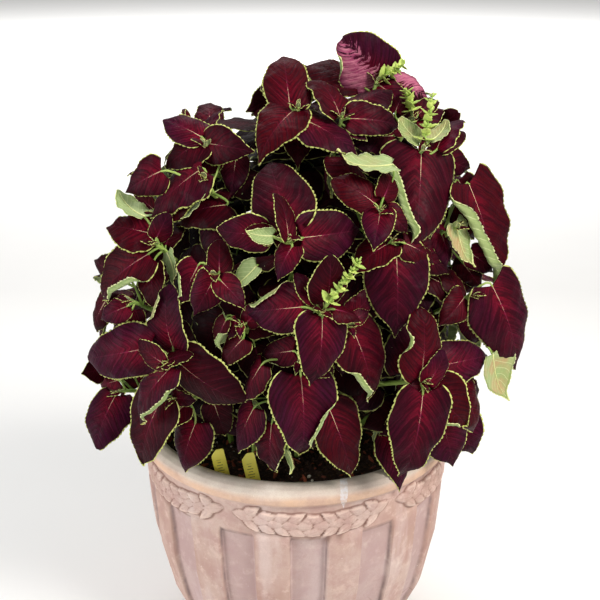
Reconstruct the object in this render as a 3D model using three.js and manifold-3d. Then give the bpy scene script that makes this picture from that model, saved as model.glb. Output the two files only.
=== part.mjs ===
// A coleus in a terracotta pot. Millimetres, +Z up, origin at the centre of the pot's base, front towards -Y.
import * as THREE from "three";
import Module from "manifold-3d";

const wasm = await Module();
wasm.setup();

// ---- Driving dimensions ----
const POT_HEIGHT = 305;
const RIM_RADIUS = 200; // outside of the rolled rim
const RIM_ROLL = 25; // height of the roll
const MOUTH_RADIUS = 176; // inside of the rim
const WALL = 17; // wall thickness below the rim
const FLOOR = 16; // thickness of the pot's floor
const FOOT_RADIUS = 118; // the flat base
const PANELS = 14; // raised panels round the wall, with as many recessed ones between
const PANEL_STEP = 7; // how far a raised panel stands out
const PANEL_FIRST = 10.9; // degrees from the front to the first raised panel's edge
const PANEL_BOTTOM = 42;
const PANEL_TOP = 240;
const BAND_RADIUS = 193; // the plain band that carries the garland
const SWAGS = 6;
const SWAG_JOINT = -24; // degrees from the front to a joint between two swags
const SWAG_LOW = 255; // height of a swag's middle
const SWAG_HIGH = 267; // height at its joints
const SWAG_HALF = 11; // half the garland's height
const SWAG_RELIEF = 6; // how far it stands out
const SOIL_DROP = 25; // from the rim's top down to the soil
const SOIL_MOUND = 6; // the soil's middle stands a little higher
const SOIL_COLUMNS = 24;
const GAP = 0.3; // between pieces that touch
const LABEL = { width: 16, height: 72, thickness: 1.2, cut: 7, depth: 28, lean: 12, back: 6 };
const LABEL_SPOTS = [
  [-83, -142],
  [-47, -151],
];
const CROWN_RADII = new THREE.Vector3(269, 260, 311); // the plant's outline, tip to tip
const CROWN_RISE = 168; // its centre above the rim
const STEM_HALF = 3.2; // half a square stem's width at the soil
const STEM_TIP_HALF = 1.7;
const STEM_SUNK = 24; // how deep a stem stands in the soil
const BLADE_RATIO = 0.74; // a blade's width to its length
const RIB_HALF = 0.9; // half a blade's thickness along its midrib
const STALK_HALF = 1.4; // half a leaf stalk's thickness
const TEST_SWELL = 0.5; // how much fatter a leaf is made while its room is tested
const SHORT_EDGES = [0.1, 0.06, 0.03, 0.01, 0.004, 0.15, 0.2]; // edges up to this are closed up after fusing
const SEED = 20240611;

// ---- Materials ----
const terracotta = new THREE.MeshStandardMaterial({ color: 0xcfab9c, roughness: 0.9, metalness: 0 });
const earth = new THREE.MeshStandardMaterial({ color: 0x2e231c, roughness: 1, metalness: 0 });
const tag = new THREE.MeshStandardMaterial({ color: 0xe9dc66, roughness: 0.5, metalness: 0 });
const foliage = new THREE.MeshStandardMaterial({ color: 0x5a0f24, roughness: 0.55, metalness: 0 });
const bloom = new THREE.MeshStandardMaterial({ color: 0xbfcf5a, roughness: 0.6, metalness: 0 });

// ---- Small helpers ----
const vec = (x, y, z) => new THREE.Vector3(x, y, z);
const radians = THREE.MathUtils.degToRad;
const mix = THREE.MathUtils.lerp;
const UP = vec(0, 0, 1);

// A repeatable draw between 0 and 1 for each pair of whole numbers.
function draw(a, b) {
  let t = (SEED + a * 7919 + b * 104729) | 0;
  t = Math.imul(t ^ (t >>> 15), t | 1);
  t ^= t + Math.imul(t ^ (t >>> 7), t | 61);
  return ((t ^ (t >>> 14)) >>> 0) / 4294967296;
}

// A point at a compass angle in degrees from the front, growing to the right.
function around(degrees, radius, z) {
  const a = radians(degrees);
  return vec(radius * Math.sin(a), -radius * Math.cos(a), z);
}

function solidOf(points, faces) {
  const vertProperties = new Float32Array(points.flatMap((p) => [p.x, p.y, p.z]));
  const triVerts = new Uint32Array(faces.flat());
  return new wasm.Manifold(new wasm.Mesh({ numProp: 3, vertProperties, triVerts }));
}

// A closed solid through rings of equal length, listed from its bottom up, each turning anticlockwise.
function loft(rings) {
  const n = rings[0].length;
  const points = rings.flat();
  const faces = [];
  for (let r = 0; r + 1 < rings.length; r++) {
    for (let i = 0; i < n; i++) {
      const j = (i + 1) % n;
      const [a, b, c, d] = [r * n + i, r * n + j, (r + 1) * n + j, (r + 1) * n + i];
      faces.push([a, b, c], [a, c, d]);
    }
  }
  const top = (rings.length - 1) * n;
  for (let i = 1; i + 1 < n; i++) faces.push([0, i + 1, i], [top, top + i, top + i + 1]);
  return solidOf(points, faces);
}

// The outer skin of a fused solid: pockets that crossing leaves have sealed are filled, loose scraps are dropped.
function outerBody(solid) {
  return solid.decompose().reduce((one, other) => (other.volume() > one.volume() ? other : one));
}

// Whether each edge of a solid, known by where its ends lie, belongs to just two faces.
function isSound(solid) {
  const { vertProperties, triVerts } = solid.getMesh();
  const place = (i) => [...vertProperties.slice(3 * i, 3 * i + 3)].map((v) => Math.round(v * 1e4)).join();
  const uses = new Map();
  for (let i = 0; i < triVerts.length; i++) {
    const next = i % 3 === 2 ? i - 2 : i + 1;
    const edge = [place(triVerts[i]), place(triVerts[next])].sort().join(" ");
    uses.set(edge, (uses.get(edge) ?? 0) + 1);
  }
  return [...uses.values()].every((count) => count === 2);
}

// A stem and its leaves in one body, with its short edges closed up as far as that leaves it sound.
function fused(stem, leaves) {
  const outer = outerBody(leaves.reduce((sum, leaf) => sum.add(leaf), stem));
  for (const shortest of SHORT_EDGES) {
    const body = outerBody(closeShortEdges(outer, shortest));
    if (isSound(body)) return body;
  }
  return null;
}

// The same, without the one leaf that spoils it, if one does.
function leafyStem(stem, leaves) {
  const whole = fused(stem, leaves);
  if (whole) return whole;
  for (let k = leaves.length - 1; k >= 0; k--) {
    const rest = fused(stem, leaves.filter((_, i) => i !== k));
    if (rest) return rest;
  }
  throw new Error("no sound body for a stem");
}

// Closes up the very short edges that fusing leaves behind.
function closeShortEdges(solid, shortest) {
  const { vertProperties, triVerts } = solid.getMesh();
  const point = (i) => vec(...vertProperties.slice(3 * i, 3 * i + 3));
  const sorted = (corners) => [...corners].sort((a, b) => a - b).join();
  const triangles = [];
  for (let i = 0; i < triVerts.length; i += 3) triangles.push([...triVerts.slice(i, i + 3)]);
  const head = Uint32Array.from({ length: vertProperties.length / 3 }, (_, i) => i);
  const weldOf = (i) => (head[i] === i ? i : weldOf(head[i]));
  for (const [a, b, c] of triangles) {
    for (const [p, q] of [[a, b], [b, c], [c, a]]) {
      if (point(p).distanceTo(point(q)) < shortest) head[weldOf(p)] = weldOf(q);
    }
  }
  const welded = triangles
    .map((corners) => corners.map(weldOf))
    .filter(([a, b, c]) => a !== b && b !== c && c !== a);
  const twins = new Map();
  for (const corners of welded) twins.set(sorted(corners), (twins.get(sorted(corners)) ?? 0) + 1);
  const kept = welded.filter((corners) => twins.get(sorted(corners)) === 1);
  const number = new Map([...new Set(kept.flat())].map((i, k) => [i, k]));
  return solidOf([...number.keys()].map(point), kept.map((corners) => corners.map((i) => number.get(i))));
}

function meshOf(name, solid, material) {
  const { vertProperties, triVerts } = solid.getMesh();
  const geometry = new THREE.BufferGeometry();
  geometry.setAttribute("position", new THREE.BufferAttribute(new Float32Array(vertProperties), 3));
  geometry.setIndex(new THREE.BufferAttribute(new Uint32Array(triVerts), 1));
  geometry.computeVertexNormals();
  const mesh = new THREE.Mesh(geometry, material);
  mesh.name = name;
  return mesh;
}

// ---- Pot ----
// The wall's radius at each height, read on the raised panels.
const WALL_PROFILE = [
  [PANEL_BOTTOM, 152],
  [90, 172.5],
  [160, 187],
  [PANEL_TOP, 194],
];

function panelColumns() {
  const turn = 360 / PANELS;
  const edge = 0.5; // half the width of the slope between two panels, in degrees
  const columns = [];
  for (let k = 0; k < PANELS; k++) {
    const start = PANEL_FIRST + k * turn;
    const end = start + turn / 2;
    columns.push([start + edge, 1], [end - edge, 1], [end + edge, 0], [start + turn - edge, 0]);
  }
  return columns;
}

function swagHeight(degrees) {
  const span = 360 / SWAGS;
  const along = (((degrees - SWAG_JOINT) % span) + span) % span;
  const u = (2 * along) / span - 1;
  return mix(SWAG_LOW, SWAG_HIGH, u * u);
}

function potSolid() {
  const columns = panelColumns();
  const level = (z, radius) => columns.map(([angle]) => around(angle, radius, z));
  const swag = (rise, out) => columns.map(([angle]) => around(angle, BAND_RADIUS + out, swagHeight(angle) + rise));
  const panels = WALL_PROFILE.map(([z, radius]) =>
    columns.map(([angle, raised]) => around(angle, radius - (raised ? 0 : PANEL_STEP), z)),
  );
  const rollTop = POT_HEIGHT;
  const rollFoot = POT_HEIGHT - RIM_ROLL;
  const rings = [
    level(0, FOOT_RADIUS),
    level(4, FOOT_RADIUS + 8),
    level(31, 146 - PANEL_STEP),
    ...panels,
    level(PANEL_TOP + 2, BAND_RADIUS),
    swag(-SWAG_HALF, 0.5),
    swag(0, SWAG_RELIEF),
    swag(SWAG_HALF, 0.5),
    level(rollFoot, BAND_RADIUS),
    level(rollFoot + 5, RIM_RADIUS - 1),
    level(rollTop - 8, RIM_RADIUS),
    level(rollTop, RIM_RADIUS - 10),
  ];
  return loft(rings).subtract(potInside(0));
}

// The room inside the pot, or the same shape drawn in by a gap for the soil that fills it.
const INSIDE_PROFILE = [
  [FLOOR, FOOT_RADIUS - 16],
  [60, 150 - WALL],
  [150, 186 - WALL],
  [POT_HEIGHT - 14, MOUTH_RADIUS - 1],
  [POT_HEIGHT + 1, MOUTH_RADIUS + 4],
];

function insideRadius(z) {
  const k = INSIDE_PROFILE.findIndex(([height]) => height >= z);
  const [[z0, r0], [z1, r1]] = [INSIDE_PROFILE[k - 1], INSIDE_PROFILE[k]];
  return mix(r0, r1, (z - z0) / (z1 - z0));
}

function soilRing(z, radius) {
  const ring = [];
  for (let i = 0; i < SOIL_COLUMNS; i++) ring.push(around((i * 360) / SOIL_COLUMNS, radius, z));
  return ring;
}

function potInside(gap) {
  return loft(INSIDE_PROFILE.map(([z, radius]) => soilRing(z, radius - gap)));
}

// ---- Soil ----
const SOIL_TOP = POT_HEIGHT - SOIL_DROP;

function soilSolid(holes) {
  const wall = INSIDE_PROFILE.filter(([z]) => z < SOIL_TOP);
  const rings = wall.map(([z, radius]) => soilRing(Math.max(z, FLOOR + GAP), radius - 2 * GAP));
  rings.push(soilRing(SOIL_TOP - 3, insideRadius(SOIL_TOP - 3) - 2 * GAP));
  rings.push(soilRing(SOIL_TOP + SOIL_MOUND, 96).map((p, i) => p.setZ(p.z + 4 * draw(901, i))));
  return holes.reduce((soil, hole) => soil.subtract(hole), loft(rings));
}

// ---- Labels ----
function labelSolid([x, y], swell) {
  const half = LABEL.width / 2 + swell;
  const top = LABEL.height - LABEL.depth;
  const shape = new THREE.Shape([
    new THREE.Vector2(-half, -LABEL.depth - swell),
    new THREE.Vector2(half, -LABEL.depth - swell),
    new THREE.Vector2(half, top),
    new THREE.Vector2(-half + LABEL.cut, top),
    new THREE.Vector2(-half, top - LABEL.cut),
  ]);
  const depth = LABEL.thickness + 2 * swell;
  const plate = new THREE.ExtrudeGeometry(shape, { depth, bevelEnabled: false });
  plate.translate(0, 0, -depth / 2);
  plate.rotateX(Math.PI / 2);
  plate.rotateY(radians(-LABEL.lean));
  plate.rotateX(radians(-LABEL.back));
  plate.translate(x, y, SOIL_TOP);
  return solidOf(...weld(plate));
}

// A three.js geometry's corner points, each once, and its triangles.
function weld(geometry) {
  const flat = geometry.index ? geometry.toNonIndexed() : geometry;
  const position = flat.getAttribute("position");
  const seen = new Map();
  const points = [];
  const faces = [];
  for (let i = 0; i < position.count; i += 3) {
    const face = [0, 1, 2].map((k) => {
      const p = vec(position.getX(i + k), position.getY(i + k), position.getZ(i + k));
      const key = [p.x, p.y, p.z].map((v) => Math.round(v * 1e4)).join();
      if (!seen.has(key)) seen.set(key, points.push(p) - 1);
      return seen.get(key);
    });
    faces.push(face);
  }
  return [points, faces];
}

// ---- The viewer's window ----
// The stems at the front are set out as a person standing before the plant sees them: across and rise are
// millimetres on an upright window between the eye and the plant, square to the line of sight.
const EYE = vec(5, -1169, POT_HEIGHT + 568);
const LOOK_DOWN = radians(19.5);
const WINDOW_REACH = 1290;
const SIGHT = vec(0, Math.cos(LOOK_DOWN), -Math.sin(LOOK_DOWN));
const SIGHT_UP = vec(0, Math.sin(LOOK_DOWN), Math.cos(LOOK_DOWN));
const CROWN_CENTRE = vec(0, 0, POT_HEIGHT + CROWN_RISE);

// The direction from the eye through a spot of the window, one millimetre deep along the line of sight.
function ray([across, rise]) {
  return SIGHT.clone()
    .addScaledVector(vec(1, 0, 0), across / WINDOW_REACH)
    .addScaledVector(SIGHT_UP, rise / WINDOW_REACH);
}

const seenAt = (spot, depth) => EYE.clone().addScaledVector(ray(spot), depth);

// How deep the ray through a spot meets the crown, drawn in to a share of its size.
function crownDepth(spot, share) {
  const stretch = CROWN_RADII.clone().multiplyScalar(share);
  const d = ray(spot).divide(stretch);
  const e = EYE.clone().sub(CROWN_CENTRE).divide(stretch);
  const [a, b, c] = [d.dot(d), d.dot(e), e.dot(e) - 1];
  return (-b - Math.sqrt(Math.max(0, b * b - a * c))) / a;
}

// The crown's outward direction at a point.
function outward(point) {
  const n = point.clone().sub(CROWN_CENTRE).divide(CROWN_RADII).divide(CROWN_RADII);
  return n.normalize();
}

// ---- Leaves ----
// Half a blade's edge from its stalk to its tip: shares of the length and of the width, out to a tooth and in
// to a notch by turns. The midrib's points lie between.
const EDGES = {
  large: { edge: [[0.02, 0.3], [0.15, 0.5], [0.25, 0.44], [0.42, 0.48], [0.54, 0.34], [0.72, 0.26]],
           rib: [0.42] },
  small: { edge: [[0.02, 0.28], [0.2, 0.5], [0.36, 0.41], [0.58, 0.37]],
           rib: [0.45] },
};
const LARGE_FROM = 60; // a blade this long has the longer list of teeth

// One leaf: a square stalk from inside the stem to the blade, and a blade that is thick along its midrib and
// thins out to its toothed edge, arched from base to tip and folded along the midrib.
function leafSolid(leaf, swell, withStalk) {
  const length = leaf.tip.distanceTo(leaf.base);
  const a = leaf.tip.clone().sub(leaf.base).normalize();
  const s = a.clone().cross(leaf.face).normalize();
  const n = s.clone().cross(a);
  const width = leaf.width * (1 + 0.04 * swell);
  const { edge, rib } = length >= LARGE_FROM ? EDGES.large : EDGES.small;
  const at = (t, w, lift) =>
    leaf.base
      .clone()
      .addScaledVector(a, t * length)
      .addScaledVector(s, w * width)
      .addScaledVector(n, leaf.arch * length * 4 * t * (1 - t) + leaf.fold * Math.abs(w) * width + lift);
  const stalk = STALK_HALF + swell / 2;
  const ribHalf = (t) => (RIB_HALF + swell / 2) * (1 - 0.35 * t);
  // The stalk's top, right, bottom and left at the blade, and its three corners in the stem.
  const points = [
    leaf.base.clone().addScaledVector(n, stalk),
    leaf.base.clone().addScaledVector(s, stalk),
    leaf.base.clone().addScaledVector(n, -stalk),
    leaf.base.clone().addScaledVector(s, -stalk),
  ];
  const faces = [];
  if (withStalk) {
    const p = leaf.base.clone().sub(leaf.root).normalize();
    const right = s.clone().addScaledVector(p, -p.dot(s)).normalize();
    const top = right.clone().cross(p);
    points.push(
      leaf.root.clone().addScaledVector(top, stalk),
      leaf.root.clone().addScaledVector(top, -stalk).addScaledVector(right, stalk),
      leaf.root.clone().addScaledVector(top, -stalk).addScaledVector(right, -stalk),
    );
    faces.push([4, 5, 1], [4, 1, 0], [5, 6, 2], [5, 2, 1], [6, 3, 2], [6, 4, 0], [6, 0, 3], [4, 6, 5]);
  } else {
    faces.push([0, 2, 1], [0, 3, 2]);
  }
  const wave = (k, side) => leaf.wave * (k % 2 ? 1 : -0.4) * side;
  const place = (t, w, lift) => points.push(at(t, w, lift)) - 1;
  const ribTop = [[0, 0], ...rib.map((t) => [t, place(t, 0, ribHalf(t))])];
  const ribBottom = [[0, 2], ...rib.map((t) => [t, place(t, 0, -ribHalf(t))])];
  const right = [[0, 1], ...edge.map(([t, w], k) => [t, place(t, w, wave(k, 1))])];
  const left = [[0, 3], ...edge.map(([t, w], k) => [t, place(t, -w, wave(k, -1))])];
  const tip = place(1, 0, 0);
  const strip = (middle, margin, turned) => {
    let [i, j] = [0, 0];
    while (i < middle.length || j < margin.length) {
      const [ribNext, edgeNext] = [middle[i + 1]?.[0] ?? 1, margin[j + 1]?.[0] ?? 1];
      const stepEdge = edgeNext < ribNext;
      const last = i + 1 === middle.length && j + 1 === margin.length;
      const next = last ? tip : stepEdge ? margin[j + 1][1] : middle[i + 1][1];
      const face = [middle[i][1], margin[j][1], next];
      faces.push(turned ? face.reverse() : face);
      if (last) break;
      if (stepEdge) j++;
      else i++;
    }
  };
  strip(ribTop, right, false);
  strip(ribTop, left, true);
  strip(ribBottom, right, true);
  strip(ribBottom, left, false);
  return solidOf(points, faces);
}

// ---- Stems ----
const STEM_STEPS = 4;

// A stem's centre line: straight up out of the soil, then over in one curve to its tip along the tip's axis.
function stemLine(foot, tip, axis) {
  const start = vec(foot.x, foot.y, SOIL_TOP + 12);
  const reach = start.distanceTo(tip);
  const curve = new THREE.CubicBezierCurve3(
    start,
    start.clone().addScaledVector(UP, 0.4 * reach),
    tip.clone().addScaledVector(axis, -0.3 * reach),
    tip,
  );
  const line = [vec(foot.x, foot.y, SOIL_TOP - STEM_SUNK)];
  for (let i = 0; i <= STEM_STEPS; i++) line.push(curve.getPoint(i / STEM_STEPS));
  return line;
}

function stemSolid(line, swell) {
  const last = line.length - 1;
  const across = UP.clone().cross(line[last].clone().sub(line[0])).normalize();
  const rings = line.map((p, i) => {
    const along = line[Math.min(i + 1, last)].clone().sub(line[Math.max(i - 1, 0)]).normalize();
    if (i < 2) along.copy(UP);
    const side = across.clone().addScaledVector(along, -across.dot(along)).normalize();
    const other = along.clone().cross(side);
    const half = swell + (i < 2 ? STEM_HALF : mix(STEM_HALF, STEM_TIP_HALF, (i - 1) / (last - 1)));
    return [[1, 1], [-1, 1], [-1, -1], [1, -1]].map(([u, v]) =>
      p.clone().addScaledVector(side, u * half).addScaledVector(other, v * half),
    );
  });
  return loft(rings);
}

// The point and direction a distance back from the tip along a stem's centre line.
function backAlong(line, back) {
  let left = back;
  for (let i = line.length - 1; i > 1; i--) {
    const piece = line[i].clone().sub(line[i - 1]);
    const length = piece.length();
    const along = piece.normalize();
    if (left <= length || i === 2) {
      const reach = Math.min(left, length * 0.98);
      return { point: line[i].clone().addScaledVector(along, -reach), along };
    }
    left -= length;
  }
}

// A stem's foot in the soil lies on its tip's side of the pot: low stems further out, high ones nearer the middle.
const FOOT_NEAR = 22;
const FOOT_FAR = 148;

function footOf(tip, swing) {
  const height = THREE.MathUtils.clamp((tip.z - POT_HEIGHT) / (CROWN_RISE + CROWN_RADII.z), 0, 1);
  const reach = mix(FOOT_FAR, FOOT_NEAR, Math.sqrt(height));
  const turn = Math.atan2(tip.y, tip.x) + swing;
  return vec(reach * Math.cos(turn), reach * Math.sin(turn), SOIL_TOP);
}

// ---- The stems that a viewer sees ----
// tip: the shoot's tip on the window. leaves: across and rise of the blade's base, across and rise of its tip,
// and its width as seen. A blade that looks shorter than its width allows points to or away from the viewer,
// and one that looks narrower is turned about its midrib. u: its underside shows. t: turned the other way.
const FRONT = [
  { tip: [-2, 251], reach: 0.9, leaves: [
    [-13, 251, -21, 318, 57], [-8, 247, -57, 181, 52], [5, 235, 80, 188, 40], [-12, 243, -71, 246, 26],
    [-14, 255, -48, 284, 26] ] },
  { tip: [55, 240], reach: 0.9, leaves: [
    [52, 239, 11, 292, 32], [58, 243, 121, 277, 42], [64, 236, 131, 225, 42], [60, 225, 88, 206, 22] ] },
  { tip: [100, 285], reach: 0.9, leaves: [
    [108, 286, 52, 337, 62], [75, 280, 1, 305, 42], [121, 283, 168, 265, 30], [102, 280, 142, 250, 30] ] },
  { tip: [146, 238], reach: 0.9, leaves: [
    [124, 244, 142, 276, 24], [153, 240, 180, 262, 24], [150, 232, 190, 250, 26] ] },
  { tip: [160, 196], reach: 0.96, leaves: [
    [158, 195, 149, 62, 100], [178, 196, 209, 238, 26], [180, 196, 214, 222, 28], [168, 206, 192, 232, 20, "u"],
    [156, 206, 129, 237, 22, "u"] ] },
  { tip: [-123, 203], reach: 0.9, leaves: [
    [-128, 212, -177, 235, 40], [-124, 205, -105, 250, 16], [-126, 207, -177, 167, 38], [-122, 204, -62, 195, 50],
    [-83, 185, -90, 134, 39] ] },
  { tip: [-124, 160], reach: 0.9, leaves: [
    [-128, 171, -198, 108, 52], [-150, 140, -196, 92, 34], [-95, 124, -166, 101, 46], [-180, 168, -224, 143, 40] ] },
  { tip: [-190, 75], reach: 0.9, leaves: [
    [-191, 86, -250, 97, 36], [-187, 80, -172, 112, 30], [-197, 60, -263, -3, 58], [-202, 108, -238, 142, 26, "u"],
    [-191, 45, -184, -18, 34] ] },
  { tip: [-112, 34], reach: 0.94, leaves: [
    [-132, 46, -158, -8, 46], [-105, 36, -105, 80, 34], [-110, 30, -140, -22, 44], [-44, 70, -94, 13, 30],
    [-104, 26, -70, -12, 34] ] },
  { tip: [-14, 80], reach: 0.98, leaves: [
    [-14, 99, -42, 182, 82], [-46, 86, -112, 92, 52], [-36, 82, -71, 94, 26], [-15, 80, -31, 140, 20],
    [3, 81, 82, 90, 70], [-10, 70, -30, 24, 34] ] },
  { tip: [105, 117], reach: 0.94, leaves: [
    [105, 117, 95, 66, 44], [98, 125, 42, 158, 44], [108, 132, 122, 176, 30], [92, 122, 118, 148, 26],
    [112, 116, 142, 86, 30], [80, 150, 36, 190, 34] ] },
  { tip: [30, -14], reach: 1, leaves: [
    [29, -22, 18, -116, 66], [34, -2, 38, 50, 52], [3, -9, -77, -16, 68], [44, -12, 82, -26, 22],
    [18, 0, -6, 36, 30] ] },
  { tip: [122, 80], reach: 0.92, leaves: [[125, 68, 126, -53, 88], [116, 74, 66, 30, 44], [136, 74, 178, 48, 40]] },
  { tip: [-172, -80], reach: 0.96, leaves: [
    [-194, -62, -269, -76, 65], [-178, -82, -212, -54, 26], [-175, -80, -139, -70, 20], [-165, -62, -172, 20, 46],
    [-156, -83, -65, -138, 60], [-166, -86, -211, -164, 48] ] },
  { tip: [163, -106], reach: 0.98, leaves: [
    [158, -98, 160, -12, 52], [166, -108, 190, -66, 28], [160, -114, 126, -146, 32], [180, -86, 245, -73, 64],
    [168, -115, 220, -166, 60], [160, -122, 130, -237, 70] ] },
  { tip: [66, -34], reach: 0.9, leaves: [[68, -36, 94, -137, 65], [70, -26, 90, -14, 20], [66, -22, 96, 14, 30]] },
  { tip: [0, -80], reach: 0.94, leaves: [
    [1, -98, 1, -208, 84], [-8, -66, -54, -72, 40], [-50, -84, -74, -134, 30], [12, -76, 46, -100, 34]] },
  { tip: [-78, -33], reach: 0.9, leaves: [
    [-82, -26, -94, -52, 20], [-74, -50, -104, -86, 34], [-96, -26, -106, -68, 20], [-70, -30, -44, -4, 30] ] },
  { tip: [-166, -128], reach: 0.9, leaves: [
    [-180, -128, -206, -218, 60], [-136, -160, -155, -228, 54], [-166, -126, -134, -130, 22],
    [-112, -134, -96, -180, 42], [-150, -136, -178, -168, 34] ] },
  { tip: [0, -132], reach: 0.88, leaves: [
    [38, -141, 70, -232, 60], [-37, -160, -35, -230, 44], [-60, -140, -84, -200, 40],
    [14, -140, 18, -196, 40] ] },
  { tip: [205, 96], reach: 0.94, leaves: [
    [220, 152, 258, 14, 64], [202, 100, 222, 42, 26, "u"], [184, 86, 192, 40, 24], [168, 30, 216, -3, 32] ] },
  { tip: [226, 6], reach: 0.94, leaves: [
    [250, 19, 283, -94, 75], [250, -70, 266, -130, 34, "u"], [222, -10, 230, -60, 44], [214, 4, 180, -34, 40]] },
  { tip: [176, -146], reach: 0.88, leaves: [
    [182, -150, 202, -219, 58], [116, -176, 130, -238, 42], [190, -140, 212, -158, 24],
    [150, -150, 104, -176, 40]] },
  { tip: [-236, -118], reach: 0.93, leaves: [
    [-240, -124, -266, -190, 46], [-236, -104, -262, -112, 32], [-256, -90, -284, -96, 34]] },
  { tip: [-222, 0], reach: 0.94, leaves: [
    [-226, 2, -264, 12, 26], [-224, -8, -262, -26, 34], [-218, -12, -236, -62, 44], [-228, 34, -270, 52, 40]] },
];

// ---- The stems round the back, in rows by height ----
// rise and across are shares of the crown's radii; swing in degrees from the right-hand side round the back.
const BACK_ROWS = [
  { up: -0.42, count: 4, first: 20, last: 160, pairs: 4 },
  { up: 0.05, count: 4, first: 8, last: 172, pairs: 4 },
  { up: 0.5, count: 3, first: 24, last: 156, pairs: 4 },
  { up: 0.82, count: 3, first: 14, last: 166, pairs: 3 },
  { up: 0.97, count: 2, first: 60, last: 250, pairs: 3 },
];
const BACK_REACH = 0.84;

// Pairs of leaves down a stem, each pair at right angles to the one above: distance back from the tip, stalk,
// blade length, and the angle that the leaves make with the stem, in degrees.
const PAIRS = [
  { back: 4, stalk: 5, length: 46, open: 42 },
  { back: 22, stalk: 10, length: 78, open: 66 },
  { back: 56, stalk: 17, length: 102, open: 84 },
  { back: 100, stalk: 22, length: 108, open: 92 },
];

function seenLeaf(shoot, [x0, y0, x1, y1, seenWidth, marks = ""], key) {
  const apart = Math.hypot(x0 - shoot.tip[0], y0 - shoot.tip[1]);
  const depth = shoot.depth + 3 + 0.3 * apart;
  const scale = depth / WINDOW_REACH;
  const flat = Math.hypot(x1 - x0, y1 - y0) * scale;
  const width = seenWidth * scale;
  const slope = crownDepth([x1, y1], shoot.reach) - crownDepth([x0, y0], shoot.reach);
  let lean = THREE.MathUtils.clamp(slope, -0.5 * flat, 0.5 * flat);
  let full = BLADE_RATIO * Math.hypot(flat, lean);
  if (width > full) {
    full = width;
    lean = Math.sign(lean || 1) * Math.sqrt((full / BLADE_RATIO) ** 2 - flat ** 2);
  }
  const base = seenAt([x0, y0], depth);
  const tip = seenAt([x1, y1], depth + lean);
  const a = tip.clone().sub(base).normalize();
  const toEye = EYE.clone().sub(base).normalize();
  const square = toEye.clone().addScaledVector(a, -toEye.dot(a)).normalize();
  const turn = Math.min(Math.acos(Math.min(1, width / full)), 1.2);
  const sky = outward(base).addScaledVector(UP, 0.6);
  const [one, other] = [turn, -turn].map((angle) => square.clone().applyAxisAngle(a, angle));
  const face = one.dot(sky) > other.dot(sky) !== marks.includes("t") ? one : other;
  if (marks.includes("u")) face.negate();
  const root = backAlong(shoot.line, 2 + 0.5 * apart);
  return { root: root.point, base, tip, face, width: full, away: ray([x0, y0]).normalize(), ...habit(key) };
}

// How one blade bends: arched along its midrib, folded up or down from it, and waved at its teeth.
function habit(key) {
  return {
    arch: 0.04 + 0.08 * draw(key, 1),
    fold: -0.3 + 0.42 * draw(key, 2),
    wave: 0.6 + 1.4 * draw(key, 3),
  };
}

function ruledLeaf(shoot, pair, side, key) {
  const { back, stalk, length, open } = PAIRS[pair];
  const { point, along } = backAlong(shoot.line, back);
  const first = UP.clone().cross(along).normalize();
  const turn = shoot.phase + (pair % 2 ? Math.PI / 2 : 0) + 0.3 * (draw(key, 4) - 0.5);
  const out = first.applyAxisAngle(along, turn).multiplyScalar(side);
  const angle = radians(open + 14 * (draw(key, 5) - 0.5));
  const dir = along.clone().multiplyScalar(Math.cos(angle)).addScaledVector(out, Math.sin(angle));
  const base = point.clone().addScaledVector(dir, stalk);
  const blade = dir.clone().addScaledVector(UP, -0.22 - 0.12 * pair).normalize();
  const full = length * (0.84 + 0.3 * draw(key, 6));
  const tip = base.clone().addScaledVector(blade, full);
  const face = along.clone().addScaledVector(UP, 0.8);
  face.addScaledVector(blade, -face.dot(blade)).normalize();
  return { root: point, base, tip, face, width: BLADE_RATIO * full, away: along.clone().negate(), ...habit(key) };
}

// ---- Room for every leaf ----
// A leaf that would cut another piece is bent clear: its base and its tip slide along the line of sight or its
// stem, and the blade turns about its midrib. The bends are tried in this order, at full size and then smaller.
const BENDS = [];
for (const slide of [0, 7, -7, 14, -14, 24]) {
  for (const swing of [0, 12, -12, 26, -26, 42]) {
    for (const roll of [0, 0.35, -0.35]) BENDS.push([slide, swing, roll]);
  }
}
BENDS.sort(([a, b, c], [d, e, f]) => Math.hypot(a, b, 20 * c) - Math.hypot(d, e, 20 * f));
const SIZES = [1, 0.86, 0.72, 0.58];

function bentLeaf(leaf, [slide, swing, roll], size) {
  const base = leaf.base.clone().addScaledVector(leaf.away, slide);
  const tip = leaf.tip.clone().addScaledVector(leaf.away, slide + swing);
  const length = leaf.tip.distanceTo(leaf.base) * size;
  tip.sub(base).setLength(length).add(base);
  const axis = tip.clone().sub(base).normalize();
  const face = leaf.face.clone().applyAxisAngle(axis, roll);
  return { ...leaf, base, tip, face, width: leaf.width * size };
}

const placed = []; // { solid, box, owner, blade } of all that stands in the way
const OVERLAP = 1e-4;

function boxesMeet(a, b) {
  return [0, 1, 2].every((k) => a.min[k] <= b.max[k] && b.min[k] <= a.max[k]);
}

function isClear(solid, owner, own) {
  const box = solid.boundingBox();
  for (const other of placed) {
    if ((other.owner === owner) !== own || !boxesMeet(box, other.box)) continue;
    if (own && !other.blade) continue;
    const common = solid.intersect(own ? other.blade : other.solid);
    const volume = common.volume();
    common.delete();
    if (volume > OVERLAP) return false;
  }
  return true;
}

function keep(solid, owner, blade) {
  placed.push({ solid, box: solid.boundingBox(), owner, blade });
}

function settle(leaf, owner) {
  for (const size of SIZES) {
    for (const bend of BENDS) {
      const tried = bentLeaf(leaf, bend, size);
      const blade = leafSolid(tried, TEST_SWELL, false);
      const whole = leafSolid(tried, TEST_SWELL, true);
      const clear = isClear(whole, owner, false) && isClear(blade, owner, true);
      blade.delete();
      whole.delete();
      if (clear) {
        keep(leafSolid(tried, 0, true), owner, leafSolid(tried, 0, false));
        return tried;
      }
    }
  }
  return null;
}

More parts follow.
